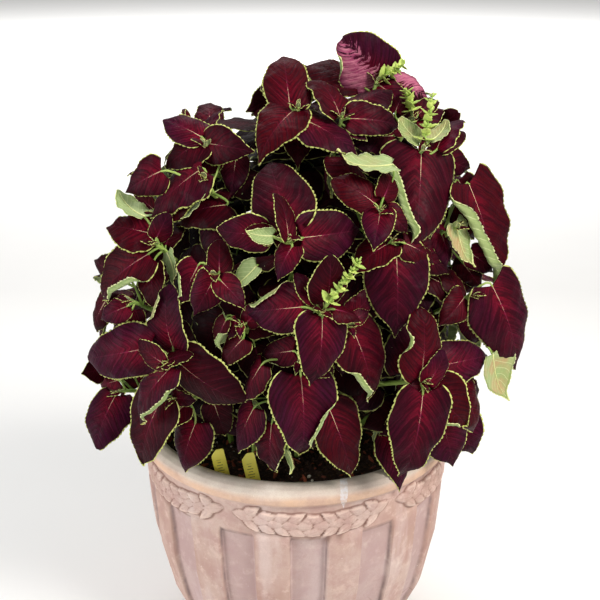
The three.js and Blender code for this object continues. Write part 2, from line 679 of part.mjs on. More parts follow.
// ---- Flower spikes ----
// Each stands on a stem's tip and leans over to a spot of the window a little nearer the viewer or further away.
const SPIKES = [
  { stem: 2, spot: [137, 308], nearer: 6, whorls: 4 },
  { stem: 3, spot: [138, 276], nearer: -4, whorls: 4 },
  { stem: 4, spot: [173, 268], nearer: 2, whorls: 5 },
  { stem: 11, spot: [80, 56], nearer: 12, whorls: 6 },
];
const SPIKE = { sides: 6, core: 1.2, whorl: 4.4, seat: 3 };

function spikeSolid(foot, end, whorls) {
  const along = end.clone().sub(foot).normalize();
  const side = UP.clone().cross(along).normalize();
  const other = along.clone().cross(side);
  const ring = (t, radius, lobes, twist) => {
    const centre = foot.clone().lerp(end, t);
    const points = [];
    for (let i = 0; i < SPIKE.sides; i++) {
      const angle = (i * 2 * Math.PI) / SPIKE.sides;
      const r = radius * (1 + lobes * (i % 2 === twist ? 1 : -1));
      points.push(centre.clone().addScaledVector(side, r * Math.cos(angle)).addScaledVector(other, r * Math.sin(angle)));
    }
    return points;
  };
  const rings = [ring(0, SPIKE.core, 0, 0), ring(0.12, SPIKE.core, 0, 0)];
  for (let k = 0; k < whorls; k++) {
    const t = mix(0.2, 0.97, k / (whorls - 1));
    const size = mix(1, 0.45, k / (whorls - 1));
    const reach = 0.3 / whorls;
    rings.push(ring(t - reach, SPIKE.core * size, 0, 0), ring(t, SPIKE.whorl * size, 0.3, k % 2));
  }
  rings.push(ring(1, 0.6, 0, 0));
  return loft(rings);
}

// ---- The shoots, from the front round to the back ----
function frontShoot(entry, index) {
  const depth = crownDepth(entry.tip, entry.reach);
  const tip = seenAt(entry.tip, depth);
  return { ...entry, seen: entry.leaves, index, depth, end: tip };
}

function backShoots() {
  const shoots = [];
  for (const { up, count, first, last, pairs } of BACK_ROWS) {
    for (let k = 0; k < count; k++) {
      const index = FRONT.length + shoots.length;
      const swing = radians(mix(first, last, k / (count - 1)) + 10 * (draw(index, 11) - 0.5));
      const height = up + 0.1 * (draw(index, 12) - 0.5);
      const girth = Math.sqrt(1 - Math.min(1, height * height));
      const spot = vec(girth * Math.cos(swing), girth * Math.sin(swing), height);
      const end = spot.multiply(CROWN_RADII).multiplyScalar(BACK_REACH).add(CROWN_CENTRE);
      shoots.push({ seen: [], index, end, pairs });
    }
  }
  return shoots;
}

const TIP_LIFT = 0.5; // how much a stem's tip turns up from square to the crown
const FOOT_SWINGS = [0, 0.07, -0.07, 0.14, -0.14, 0.22, -0.22, 0.3, -0.3, 0.4, -0.4, 0.55, -0.55];

function settleStem(shoot) {
  const axis = outward(shoot.end).addScaledVector(UP, TIP_LIFT).normalize();
  for (const swing of FOOT_SWINGS) {
    const foot = footOf(shoot.end, swing);
    const line = stemLine(foot, shoot.end, axis);
    const tested = stemSolid(line, 2);
    const clear = isClear(tested, shoot.index, false);
    tested.delete();
    if (clear) {
      const solid = stemSolid(line, 0);
      keep(solid, shoot.index, null);
      return { ...shoot, line, solid, phase: Math.PI * draw(shoot.index, 13) };
    }
  }
  return null;
}

const pot = potSolid();
const labels = LABEL_SPOTS.map((spot) => labelSolid(spot, 0));
const lid = loft([soilRing(SOIL_TOP - 4, MOUTH_RADIUS), soilRing(SOIL_TOP + 2 * SOIL_MOUND, MOUTH_RADIUS)]);
keep(pot, "pot", null);
labels.forEach((label) => keep(label, "label", null));

const shoots = [...FRONT.map(frontShoot), ...backShoots()].map(settleStem).filter(Boolean);
keep(lid, "soil", null);

const spikes = SPIKES.map(({ stem, spot, nearer, whorls }) => {
  const shoot = shoots.find(({ index }) => index === stem);
  const end = seenAt(spot, shoot.depth - nearer);
  const foot = shoot.end.clone().addScaledVector(end.clone().sub(shoot.end).normalize(), SPIKE.seat);
  return spikeSolid(foot, end, whorls);
});
spikes.forEach((spike, k) => keep(spike, `spike ${k}`, null));

// Pinched leaves, as [shoot, pair, side]: they would stand up out of the crown.
const PINCHED = [[35, 0, 1], [35, 1, -1], [37, 1, -1], [38, 0, 1], [38, 0, -1], [38, 1, -1], [39, 0, 1]];
const isPinched = (...leaf) => PINCHED.some((one) => one.join() === leaf.join());

const leavesOf = new Map(shoots.map((shoot) => [shoot, []]));
function addLeaf(shoot, leaf) {
  const settled = settle(leaf, shoot.index);
  if (settled) leavesOf.get(shoot).push(settled);
}

for (const shoot of shoots) {
  shoot.seen.forEach((row, k) => addLeaf(shoot, seenLeaf(shoot, row, shoot.index * 40 + k)));
}
for (let pair = 0; pair < PAIRS.length; pair++) {
  for (const shoot of shoots.filter(({ seen, pairs }) => !seen.length && pair < pairs)) {
    for (const side of [1, -1]) {
      if (isPinched(shoot.index, pair, side)) continue;
      addLeaf(shoot, ruledLeaf(shoot, pair, side, shoot.index * 40 + 20 + 2 * pair + (side + 1) / 2));
    }
  }
}

const nodeName = (kind, number) => `${kind}_${String(number).padStart(2, "0")}`;
const coleus = new THREE.Group();
coleus.add(meshOf("pot", pot, terracotta));
const holes = [
  ...shoots.map((shoot) => stemSolid(shoot.line, GAP)),
  ...LABEL_SPOTS.map((spot) => labelSolid(spot, GAP)),
];
coleus.add(meshOf("soil", soilSolid(holes), earth));
labels.forEach((label, k) => coleus.add(meshOf(`label_${k + 1}`, label, tag)));
for (const shoot of shoots) {
  const leaves = leavesOf.get(shoot).map((leaf) => leafSolid(leaf, 0, true));
  coleus.add(meshOf(nodeName("stem", shoot.index + 1), leafyStem(shoot.solid, leaves), foliage));
}

spikes.forEach((spike, k) => coleus.add(meshOf(`spike_${k + 1}`, spike, bloom)));

export default coleus;
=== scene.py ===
"""A coleus in a terracotta pot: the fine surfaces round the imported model. Lengths in the placing rules are in
millimetres, as in the part's own source, and every mesh is written in metres."""
import math

import bpy
import numpy as np
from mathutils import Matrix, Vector, bvhtree, kdtree


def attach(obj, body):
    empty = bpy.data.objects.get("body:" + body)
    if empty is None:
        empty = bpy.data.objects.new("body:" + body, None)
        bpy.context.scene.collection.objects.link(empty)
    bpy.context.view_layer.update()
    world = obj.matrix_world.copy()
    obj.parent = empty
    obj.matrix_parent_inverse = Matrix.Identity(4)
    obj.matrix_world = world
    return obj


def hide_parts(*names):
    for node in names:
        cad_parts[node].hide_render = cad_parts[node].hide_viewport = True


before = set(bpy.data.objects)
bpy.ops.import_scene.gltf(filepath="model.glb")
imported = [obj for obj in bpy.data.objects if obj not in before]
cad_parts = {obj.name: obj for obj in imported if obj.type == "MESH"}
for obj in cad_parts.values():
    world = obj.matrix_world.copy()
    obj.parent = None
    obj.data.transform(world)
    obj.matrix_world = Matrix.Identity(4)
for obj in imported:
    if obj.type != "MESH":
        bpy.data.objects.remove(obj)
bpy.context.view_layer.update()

MM = 0.001

# ---- The part's driving dimensions, in millimetres ----
POT_HEIGHT = 305
MOUTH_RADIUS = 176
FLOOR = 16
PANELS = 14
PANEL_STEP = 7
PANEL_FIRST = 10.9
PANEL_BOTTOM = 42
PANEL_TOP = 240
BAND_RADIUS = 193
SWAGS = 6
SWAG_JOINT = -24
SWAG_LOW = 255
SWAG_HIGH = 267
SWAG_HALF = 11
SOIL_DROP = 25
SOIL_TOP = POT_HEIGHT - SOIL_DROP
SOIL_MOUND = 6
LABEL_WIDTH, LABEL_RISE, LABEL_DEPTH, LABEL_CUT, LABEL_THICK = 16, 44, 28, 7, 1.2
LABEL_LEAN, LABEL_BACK = 12, 6
LABEL_SPOTS = [(-83, -142), (-47, -151)]
CROWN_RADII = np.array([269.0, 260.0, 311.0])
CROWN_CENTRE = np.array([0.0, 0.0, POT_HEIGHT + 168])
STEM_HALF, STEM_TIP_HALF, STEM_SUNK = 3.2, 1.7, 24
BLADE_RATIO = 0.74
SEED = 20240611
UP = np.array([0.0, 0.0, 1.0])
ASIDE = np.array([1.0, 0.0, 0.0])
BACKWARDS = np.array([0.0, 1.0, 0.0])
KEYS_A_SHOOT = 40  # each leaf's draws hang on its own number, from the range of its kind
PAIR_KEYS, FILL_KEYS, BUD_KEYS, BRACT_KEYS, EXTRA_KEYS = 20, 2000, 4000, 6000, 8000
EYE = np.array([5.0, -1169.0, POT_HEIGHT + 568])
LOOK_DOWN = math.radians(19.5)
WINDOW_REACH = 1290
SIGHT = np.array([0, math.cos(LOOK_DOWN), -math.sin(LOOK_DOWN)])
SIGHT_UP = np.array([0, math.sin(LOOK_DOWN), math.cos(LOOK_DOWN)])


# ---- Small helpers ----
def unit(v):
    return v / np.linalg.norm(v)


def mix(a, b, t):
    return a + (b - a) * t


def int32(value):
    return ((int(value) + 2**31) % 2**32) - 2**31


def imul(a, b):
    return int32((a & 0xFFFFFFFF) * (b & 0xFFFFFFFF))


def draw(a, b):
    """A repeatable draw between 0 and 1 for each pair of whole numbers, the same as the part's own."""
    t = int32(SEED + a * 7919 + b * 104729)
    t = imul(t ^ ((t & 0xFFFFFFFF) >> 15), t | 1)
    t = int32(t ^ int32(t + imul(t ^ ((t & 0xFFFFFFFF) >> 7), t | 61)))
    return ((t ^ ((t & 0xFFFFFFFF) >> 14)) & 0xFFFFFFFF) / 4294967296


def turned(v, axis, angle):
    """v turned about a unit axis."""
    c, s = math.cos(angle), math.sin(angle)
    return v * c + np.cross(axis, v) * s + axis * np.dot(axis, v) * (1 - c)


# ---- Where the shoots and their leaves stand: the part's own placing rules ----
FRONT = [  # the shoot's tip, how far out it reaches, and its leaves: from, to, seen width, "u" for underside
    ((-2, 251), 0.9, [(-13, 251, -21, 318, 57), (-8, 247, -57, 181, 52), (5, 235, 80, 188, 40),
        (-12, 243, -71, 246, 26), (-14, 255, -48, 284, 26)]),
    ((55, 240), 0.9, [(52, 239, 11, 292, 32), (58, 243, 121, 277, 42), (64, 236, 131, 225, 42),
        (60, 225, 88, 206, 22)]),
    ((100, 285), 0.9, [(108, 286, 52, 337, 62), (75, 280, 1, 305, 42), (121, 283, 168, 265, 30),
        (102, 280, 142, 250, 30)]),
    ((146, 238), 0.9, [(124, 244, 142, 276, 24), (153, 240, 180, 262, 24), (150, 232, 190, 250, 26)]),
    ((160, 196), 0.96, [(158, 195, 149, 62, 100), (178, 196, 209, 238, 26), (180, 196, 214, 222, 28),
        (168, 206, 192, 232, 20, "u"), (156, 206, 129, 237, 22, "u")]),
    ((-123, 203), 0.9, [(-128, 212, -177, 235, 40), (-124, 205, -105, 250, 16), (-126, 207, -177, 167, 38),
        (-122, 204, -62, 195, 50), (-83, 185, -90, 134, 39)]),
    ((-124, 160), 0.9, [(-128, 171, -198, 108, 52), (-150, 140, -196, 92, 34), (-95, 124, -166, 101, 46),
        (-180, 168, -224, 143, 40)]),
    ((-190, 75), 0.9, [(-191, 86, -250, 97, 36), (-187, 80, -172, 112, 30), (-197, 60, -263, -3, 58),
        (-202, 108, -238, 142, 26, "u"), (-191, 45, -184, -18, 34)]),
    ((-112, 34), 0.94, [(-132, 46, -158, -8, 46), (-105, 36, -105, 80, 34), (-110, 30, -140, -22, 44),
        (-44, 70, -94, 13, 30), (-104, 26, -70, -12, 34)]),
    ((-14, 80), 0.98, [(-14, 99, -42, 182, 82), (-46, 86, -112, 92, 52), (-36, 82, -71, 94, 26),
        (-15, 80, -31, 140, 20), (3, 81, 82, 90, 70), (-10, 70, -30, 24, 34)]),
    ((105, 117), 0.94, [(105, 117, 95, 66, 44), (98, 125, 42, 158, 44), (108, 132, 122, 176, 30),
        (92, 122, 118, 148, 26), (112, 116, 142, 86, 30), (80, 150, 36, 190, 34)]),
    ((30, -14), 1, [(29, -22, 18, -116, 66), (34, -2, 38, 50, 52), (3, -9, -77, -16, 68),
        (44, -12, 82, -26, 22), (18, 0, -6, 36, 30)]),
    ((122, 80), 0.92, [(125, 68, 126, -53, 88), (116, 74, 66, 30, 44), (136, 74, 178, 48, 40)]),
    ((-172, -80), 0.96, [(-194, -62, -269, -76, 65), (-178, -82, -212, -54, 26), (-175, -80, -139, -70, 20),
        (-165, -62, -172, 20, 46), (-156, -83, -65, -138, 60), (-166, -86, -211, -164, 48)]),
    ((163, -106), 0.98, [(158, -98, 160, -12, 52), (166, -108, 190, -66, 28), (160, -114, 126, -146, 32),
        (180, -86, 245, -73, 64), (168, -115, 220, -166, 60), (160, -122, 130, -237, 70)]),
    ((66, -34), 0.9, [(68, -36, 94, -137, 65), (70, -26, 90, -14, 20), (66, -22, 96, 14, 30)]),
    ((0, -80), 0.94, [(1, -98, 1, -208, 84), (-8, -66, -54, -72, 40), (-50, -84, -74, -134, 30),
        (12, -76, 46, -100, 34)]),
    ((-78, -33), 0.9, [(-82, -26, -94, -52, 20), (-74, -50, -104, -86, 34), (-96, -26, -106, -68, 20),
        (-70, -30, -44, -4, 30)]),
    ((-166, -128), 0.9, [(-180, -128, -206, -218, 60), (-136, -160, -155, -228, 54),
        (-166, -126, -134, -130, 22), (-112, -134, -96, -180, 42), (-150, -136, -178, -168, 34)]),
    ((0, -132), 0.88, [(38, -141, 70, -232, 60), (-37, -160, -35, -230, 44), (-60, -140, -84, -200, 40),
        (14, -140, 18, -196, 40)]),
    ((205, 96), 0.94, [(220, 152, 258, 14, 64), (202, 100, 222, 42, 26, "u"), (184, 86, 192, 40, 24),
        (168, 30, 216, -3, 32)]),
    ((226, 6), 0.94, [(250, 19, 283, -94, 75), (250, -70, 266, -130, 34, "u"), (222, -10, 230, -60, 44),
        (214, 4, 180, -34, 40)]),
    ((176, -146), 0.88, [(182, -150, 202, -219, 58), (116, -176, 130, -238, 42), (190, -140, 212, -158, 24),
        (150, -150, 104, -176, 40)]),
    ((-236, -118), 0.93, [(-240, -124, -266, -190, 46), (-236, -104, -262, -112, 32),
        (-256, -90, -284, -96, 34)]),
    ((-222, 0), 0.94, [(-226, 2, -264, 12, 26), (-224, -8, -262, -26, 34), (-218, -12, -236, -62, 44),
        (-228, 34, -270, 52, 40)]),
]
BACK_ROWS = [  # how high in the crown, how many shoots, from and to which direction, pairs of leaves
    (-0.42, 4, 20, 160, 4), (0.05, 4, 8, 172, 4), (0.5, 3, 24, 156, 4), (0.82, 3, 14, 166, 3),
    (0.97, 2, 60, 250, 3),
]
BACK_REACH = 0.84
PAIRS = [  # how far down from the tip, how long the stalk and the blade, how far from the stem in degrees
    (4, 5, 46, 42), (22, 10, 78, 66), (56, 17, 102, 84), (100, 22, 108, 92),
]
SPIKES = [  # the shoot, where its end is seen, and how much nearer than the shoot
    (2, (137, 308), 6), (3, (138, 276), -4), (4, (173, 268), 2), (11, (80, 56), 12),
]
TIP_LIFT = 0.5
EDGES = {
    "large": {
        "rib": 0.42,
        "edge": [(0.02, 0.3), (0.15, 0.5), (0.25, 0.44), (0.42, 0.48), (0.54, 0.34), (0.72, 0.26)],
    },
    "small": {"rib": 0.45, "edge": [(0.02, 0.28), (0.2, 0.5), (0.36, 0.41), (0.58, 0.37)]},
}
LARGE_FROM = 60
RIB_HALF = 0.9
SLIDES = (0, 7, -7, 14, -14, 24)
SWINGS = (0, 12, -12, 26, -26, 42)
ROLLS = (0, 0.35, -0.35)
SIZES = (1, 0.86, 0.72, 0.58)
MATCH = 0.06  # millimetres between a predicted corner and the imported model's own


def ray(spot):
    """The way from the eye through a place on the window, from its middle to the right and up."""
    return SIGHT + np.array([spot[0] / WINDOW_REACH, 0, 0]) + SIGHT_UP * spot[1] / WINDOW_REACH


def seen_at(spot, depth):
    return EYE + ray(spot) * depth


def crown_depth(spot, share):
    """How far off a line of sight meets the crown, drawn in by share."""
    stretch = CROWN_RADII * share
    d = ray(spot) / stretch
    e = (EYE - CROWN_CENTRE) / stretch
    a, b, c = d @ d, d @ e, e @ e - 1
    return (-b - math.sqrt(max(0, b * b - a * c))) / a


def outward(point):
    return unit((point - CROWN_CENTRE) / CROWN_RADII**2)


def habit(key):
    """How one blade bends: arched along its midrib, folded up or down from it, and waved at its teeth."""
    first, second, third = (draw(key, k) for k in (1, 2, 3))
    return {"arch": 0.04 + 0.08 * first, "fold": -0.3 + 0.42 * second, "wave": 0.6 + 1.4 * third}


def stem_curve(foot, tip, axis):
    """The corners of the curve that a stem follows above the soil."""
    start = np.array([foot[0], foot[1], SOIL_TOP + 12])
    reach = np.linalg.norm(start - tip)
    return [start, start + UP * 0.4 * reach, tip - axis * 0.3 * reach, tip]


def on_curve(corners, t):
    a, b, c, d = corners
    return a * (1 - t) ** 3 + b * 3 * t * (1 - t) ** 2 + c * 3 * t * t * (1 - t) + d * t**3


def back_along(line, back):
    """The place that far back from the tip of a stem's line, and the stem's way there."""
    left = back
    for i in range(len(line) - 1, 1, -1):
        piece = line[i] - line[i - 1]
        length = np.linalg.norm(piece)
        along = piece / length
        if left <= length or i == 2:
            return line[i] - along * min(left, length * 0.98), along
        left -= length


def seen_leaf(shoot, row, key):
    """A leaf laid where the photo shows it: its ends on the window, and as broad as it is seen."""
    x0, y0, x1, y1, seen_width, marks = (*row, "")[:6]
    apart = math.hypot(x0 - shoot["tip"][0], y0 - shoot["tip"][1])
    depth = shoot["depth"] + 3 + 0.3 * apart
    scale = depth / WINDOW_REACH
    flat = math.hypot(x1 - x0, y1 - y0) * scale
    width = seen_width * scale
    slope = crown_depth((x1, y1), shoot["reach"]) - crown_depth((x0, y0), shoot["reach"])
    lean = min(max(slope, -0.5 * flat), 0.5 * flat)
    full = BLADE_RATIO * math.hypot(flat, lean)
    if width > full:
        full = width
        lean = math.copysign(1, lean or 1) * math.sqrt((full / BLADE_RATIO) ** 2 - flat**2)
    base = seen_at((x0, y0), depth)
    tip = seen_at((x1, y1), depth + lean)
    a = unit(tip - base)
    to_eye = unit(EYE - base)
    square = unit(to_eye - a * (to_eye @ a))
    turn = min(math.acos(min(1, width / full)), 1.2)
    sky = outward(base) + UP * 0.6
    one, other = turned(square, a, turn), turned(square, a, -turn)
    face = one if one @ sky > other @ sky else other
    if "u" in marks:
        face = -face
    root, _ = back_along(shoot["line"], 2 + 0.5 * apart)
    return {"key": key, "root": root, "base": base, "tip": tip, "face": face, "width": full,
            "away": unit(ray((x0, y0))), **habit(key)}


def pair_key(shoot, start, pair, side):
    return start + shoot["index"] * KEYS_A_SHOOT + 2 * pair + (side + 1) // 2


def pair_leaf(shoot, sizes, pair, side, key):
    """One leaf of a pair down a stem, each pair at right angles to the one above."""
    back, stalk_length, blade_length, opening = sizes
    point, along = back_along(shoot["line"], back)
    turn = shoot["phase"] + (math.pi / 2 if pair % 2 else 0) + 0.3 * (draw(key, 4) - 0.5)
    out = turned(unit(np.cross(UP, along)), along, turn) * side
    angle = math.radians(opening + 14 * (draw(key, 5) - 0.5))
    way = along * math.cos(angle) + out * math.sin(angle)
    base = point + way * stalk_length
    blade = unit(way + UP * (-0.22 - 0.12 * pair))
    full = blade_length * (0.84 + 0.3 * draw(key, 6))
    face = along + UP * 0.8
    face = unit(face - blade * (face @ blade))
    return {"key": key, "root": point, "base": base, "tip": base + blade * full, "face": face,
            "width": BLADE_RATIO * full, "away": -along, **habit(key)}


def bent(leaf, slide, swing, roll, size):
    """The leaf moved back, swung back at its tip, rolled about its midrib and made smaller."""
    base = leaf["base"] + leaf["away"] * slide
    tip = leaf["tip"] + leaf["away"] * (slide + swing)
    length = np.linalg.norm(leaf["tip"] - leaf["base"]) * size
    axis = unit(tip - base)
    face = turned(leaf["face"], axis, roll)
    return {**leaf, "base": base, "tip": base + axis * length, "face": face, "width": leaf["width"] * size}


def blade_frame(leaf):
    """The blade's length, its way to the tip, its way across and its way up."""
    length = np.linalg.norm(leaf["tip"] - leaf["base"])
    a = (leaf["tip"] - leaf["base"]) / length
    s = unit(np.cross(a, leaf["face"]))
    return length, a, s, np.cross(s, a)


def coarse_blade(leaf):
    """The blade's corners in the part: margins right and left, the midrib above and below, and the tip."""
    length, a, s, n = blade_frame(leaf)
    shape = EDGES["large" if length >= LARGE_FROM else "small"]

    def at(t, w, lift):
        rise = leaf["arch"] * length * 4 * t * (1 - t) + leaf["fold"] * abs(w) * leaf["width"] + lift
        return leaf["base"] + a * t * length + s * w * leaf["width"] + n * rise

    def wave(k, side):
        return leaf["wave"] * (1 if k % 2 else -0.4) * side

    right = [at(t, w, wave(k, 1)) for k, (t, w) in enumerate(shape["edge"])]
    left = [at(t, -w, wave(k, -1)) for k, (t, w) in enumerate(shape["edge"])]
    rib = RIB_HALF * (1 - 0.35 * shape["rib"])
    return right, left, at(shape["rib"], 0, rib), at(shape["rib"], 0, -rib), leaf["tip"]


class Packed:
    """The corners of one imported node, to look up a leaf's corners in."""

    def __init__(self, node):
        points = np.empty(len(node.data.vertices) * 3)
        node.data.vertices.foreach_get("co", points)
        self.points = points.reshape(-1, 3) / MM
        self.tree = kdtree.KDTree(len(self.points))
        for i, p in enumerate(self.points):
            self.tree.insert(p, i)
        self.tree.balance()

    def has(self, point):
        return self.tree.find(point)[2] < MATCH


def as_packed(leaf, packed):
    """The leaf with the bend and the size that the part gave it, or None where the part has left it out."""
    for size in SIZES:
        for slide in SLIDES:
            for swing in SWINGS:
                straight = bent(leaf, slide, swing, 0, size)
                if not packed.has(straight["tip"]):
                    continue
                for roll in ROLLS:
                    tried = bent(leaf, slide, swing, roll, size)
                    right, left, above, below, _ = coarse_blade(tried)
                    if sum(packed.has(p) for p in [*right[1:], *left[1:], above, below]) >= 4:
                        return tried
    return None


def shoot_ends():
    """Where each shoot ends: the front ones as the photo shows them, the others in rows round the crown."""
    shoots = []
    for tip, reach, leaves in FRONT:
        depth = crown_depth(tip, reach)
        end = seen_at(tip, depth)
        shoots.append({"tip": tip, "reach": reach, "leaves": leaves, "depth": depth, "end": end, "pairs": 0})
    for up, count, first, last, pairs in BACK_ROWS:
        for k in range(count):
            index = len(shoots)
            degrees = mix(first, last, k / (count - 1)) + 10 * (draw(index, 11) - 0.5)
            height = up + 0.1 * (draw(index, 12) - 0.5)
            girth = math.sqrt(1 - min(1, height * height))
            swing = math.radians(degrees)
            spot = np.array([girth * math.cos(swing), girth * math.sin(swing), height])
            end = spot * CROWN_RADII * BACK_REACH + CROWN_CENTRE
            shoots.append({"leaves": [], "end": end, "pairs": pairs})
    return shoots


def make_shoots():
    """The shoots whose stems the part holds, each with the line that its stem follows."""
    found = []
    for index, shoot in enumerate(shoot_ends()):
        name = f"stem_{index + 1:02d}"
        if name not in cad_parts:
            continue
        packed = Packed(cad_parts[name])
        low = packed.points[packed.points[:, 2] < SOIL_TOP - STEM_SUNK + 2]
        foot = (low.min(0) + low.max(0)) / 2
        axis = unit(outward(shoot["end"]) + UP * TIP_LIFT)
        corners = stem_curve(foot, shoot["end"], axis)
        sunk = np.array([foot[0], foot[1], SOIL_TOP - STEM_SUNK])
        line = [sunk] + [on_curve(corners, i / 4) for i in range(5)]
        phase = math.pi * draw(index, 13)
        shoot.update(index=index, name=name, packed=packed, corners=corners, line=line, phase=phase)
        found.append(shoot)
    return found


def packed_leaves(shoot):
    """The leaves of the part's own stem."""
    first = shoot["index"] * KEYS_A_SHOOT
    wanted = [seen_leaf(shoot, row, first + k) for k, row in enumerate(shoot["leaves"])]
    for pair in range(shoot["pairs"]):
        for side in (1, -1):
            wanted.append(pair_leaf(shoot, PAIRS[pair], pair, side, pair_key(shoot, PAIR_KEYS, pair, side)))
    for k, leaf in enumerate(wanted):
        leaf["key"] = first + k
    found = [as_packed(leaf, shoot["packed"]) for leaf in wanted]
    return [leaf for leaf in found if leaf]


# ---- Meshes ----
def placed(name, data):
    """A new object in the scene."""
    thing = bpy.data.objects.new(name, data)
    bpy.context.scene.collection.objects.link(thing)
    return thing


class Surface:
    """Gathers grids and tubes into one mesh, in millimetres, with a material number for each face and a few
    measured values for each vertex."""

    VALUES = ("rib", "edge", "vein", "along")

    def __init__(self):
        self.points, self.values, self.tints = [], [], []
        self.faces, self.materials, self.count = [], [], 0

    def add(self, points, faces, material, values=None, tint=(0, 0, 0, 0)):
        points = np.asarray(points, float).reshape(-1, 3)
        number = len(points)
        self.points.append(points)
        self.values.append(np.zeros((number, len(self.VALUES))) if values is None else values)
        # a tint's fourth number is a leaf's painted shade
        self.tints.append(np.tile((*tint, 0.0)[:4], (number, 1)))
        faces = np.asarray(faces, int).reshape(-1, 4)
        self.faces.append(faces + self.count)
        self.materials.append(np.broadcast_to(material, len(faces)))
        self.count += number

    def piece(self, name, materials, slot, nodes, smooth=True):
        """The Blender object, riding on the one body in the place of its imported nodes. A face whose last two
        corners are equal is a triangle."""
        points = np.concatenate(self.points) * MM
        faces = np.concatenate(self.faces)
        numbers = np.concatenate(self.materials)
        three = faces[:, 2] == faces[:, 3]
        corners = np.where(three, 3, 4)
        keep = np.ones(faces.shape, bool)
        keep[three, 3] = False
        starts = np.concatenate([[0], np.cumsum(corners)[:-1]])
        mesh = bpy.data.meshes.new(name)
        mesh.vertices.add(len(points))
        mesh.vertices.foreach_set("co", points.ravel())
        mesh.loops.add(int(corners.sum()))
        mesh.loops.foreach_set("vertex_index", faces[keep].astype(np.int32))
        mesh.polygons.add(len(faces))
        mesh.polygons.foreach_set("loop_start", starts.astype(np.int32))
        mesh.polygons.foreach_set("material_index", numbers.astype(np.int32))
        mesh.polygons.foreach_set("use_smooth", np.full(len(faces), smooth))
        values = np.concatenate(self.values)
        for value, column in zip(self.VALUES, values.T.astype(np.float32)):
            numbers = np.ascontiguousarray(column)
            mesh.attributes.new(value, "FLOAT", "POINT").data.foreach_set("value", numbers)
        # the tints' fourth numbers, the leaves' painted shade, go into the attribute's alpha
        tints = np.concatenate(self.tints).astype(np.float32)
        mesh.attributes.new("tint", "FLOAT_COLOR", "POINT").data.foreach_set("color", tints.ravel())
        mesh.update(calc_edges=True)
        mesh.validate()
        for material in materials:
            mesh.materials.append(material)
        piece = placed(name, mesh)
        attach(piece, "root")
        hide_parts(*nodes)


def grid_faces(rows, columns, wrap=False):
    """Quads between neighbouring rows, with the last column joined to the first where it wraps."""
    last = columns if wrap else columns - 1
    i, j = np.meshgrid(np.arange(rows - 1), np.arange(last), indexing="ij")
    after = (j + 1) % columns
    corners = [i * columns + j, i * columns + after, (i + 1) * columns + after, (i + 1) * columns + j]
    return np.stack(corners, axis=-1).reshape(-1, 4)


def strip(ring, other):
    """Quads from one ring of corners to another."""
    return np.stack([ring, np.roll(ring, -1), np.roll(other, -1), other], 1)


def fan(ring, centre):
    """Triangles from a ring of corners to one more corner."""
    middle = np.full(len(ring), centre)
    return np.stack([ring, np.roll(ring, -1), middle, middle], 1)


END_BULGE = 0.4  # how far a tube's end stands out, as a share of its radius


def tube(surface, path, radii, sides, material, first=None, squareness=0.0, spin=0.0, tint=(0, 0, 0)):
    """A closed tube along a path, round or nearly square, with rounded ends."""
    path = np.asarray(path, float)
    radii = np.broadcast_to(radii, len(path))
    along = np.gradient(path, axis=0)
    along /= np.linalg.norm(along, axis=1)[:, None]
    side = np.cross(UP if abs(along[0][2]) < 0.9 else ASIDE, along[0]) if first is None else first
    angles = spin + np.arange(sides) * 2 * np.pi / sides
    corner = 1 + squareness * np.cos(4 * (angles - spin - np.pi / 4))
    points = []
    for point, way, radius in zip(path, along, radii):
        side = unit(side - way * (side @ way))
        ring = np.outer(np.cos(angles), side) + np.outer(np.sin(angles), np.cross(way, side))
        points.append(point + radius * corner[:, None] * ring)
    points.append([path[0] - along[0] * radii[0] * END_BULGE])
    points.append([path[-1] + along[-1] * radii[-1] * END_BULGE])
    points = np.concatenate(points)
    rows = len(path)
    ring = np.arange(sides)
    low, high = len(points) - 2, len(points) - 1
    faces = [grid_faces(rows, sides, True), fan(ring[::-1], low), fan((rows - 1) * sides + ring, high)]
    values = np.zeros((len(points), 4))
    values[:-2, 3] = np.repeat(np.linspace(0, 1, rows), sides)
    surface.add(points, np.concatenate(faces), material, values, tint)


def bead(surface, centre, axis, long, wide, material, tint=(0, 0, 0), sides=6, rows=4):
    """A small closed bud or crumb, longer along its axis."""
    t = np.linspace(0.06, 0.94, rows)
    path = centre + np.outer((t - 0.5) * 2 * long, axis)
    tube(surface, path, wide * np.sin(np.pi * t) ** 0.6, sides, material, tint=tint)


# ---- Blades ----
TOP, UNDER, GREEN = 0, 1, 2
TEETH = 15  # blades with more teeth than this have shallower ones
TOOTH_ROWS = (0.0, 0.3, 0.68)  # where a tooth's rows lie, and how far out they stand
TOOTH_RISE = (0.0, 0.85, 1.0)
LAST_ROW = 0.992
TOOTH_DEPTH = 0.017
PLAIN_COLUMNS = (0, 0.12, 0.32, 0.54, 0.76, 0.92, 1)
FAR_COLUMNS = (0, 0.16, 0.44, 0.72, 0.92, 1)
FILL_COLUMNS = (0, 0.5, 0.92, 1)
BUD_COLUMNS = (0, 0.45, 0.88, 1)
ROLLED_COLUMNS = (0, 0.15, 0.3, 0.42, 0.52, 0.6, 0.67, 0.74, 0.81, 0.87, 0.93, 1)
THICKNESS = 0.7
FOLD_RADIUS, FOLD_TURN = 1.9, 2.85  # how tightly a margin turns over, and how far round
VEINS = 7
QUILT = 0.014  # how far a blade swells between its veins, as a share of its length
RUFFLE = 1.2  # how far a margin waves on a blade 80 mm long
RIB_ROWS, RIB_HALVES, RIB_SIDES = 8, (1.15, 0.35), 4
STALK_ROWS, STALK_SIDES, STALK_BEND = 6, 5, 14
STEM_STEP, STEM_SIDES, STEM_SQUARE, STEM_FULLER, JOINT = 18, 8, 0.13, 1.12, 0.1
ROUND = 6.28  # a whole turn of the waves along a blade


def smooth_step(x, low, high):
    u = np.clip((x - low) / (high - low), 0, 1)
    return u * u * (3 - 2 * u)


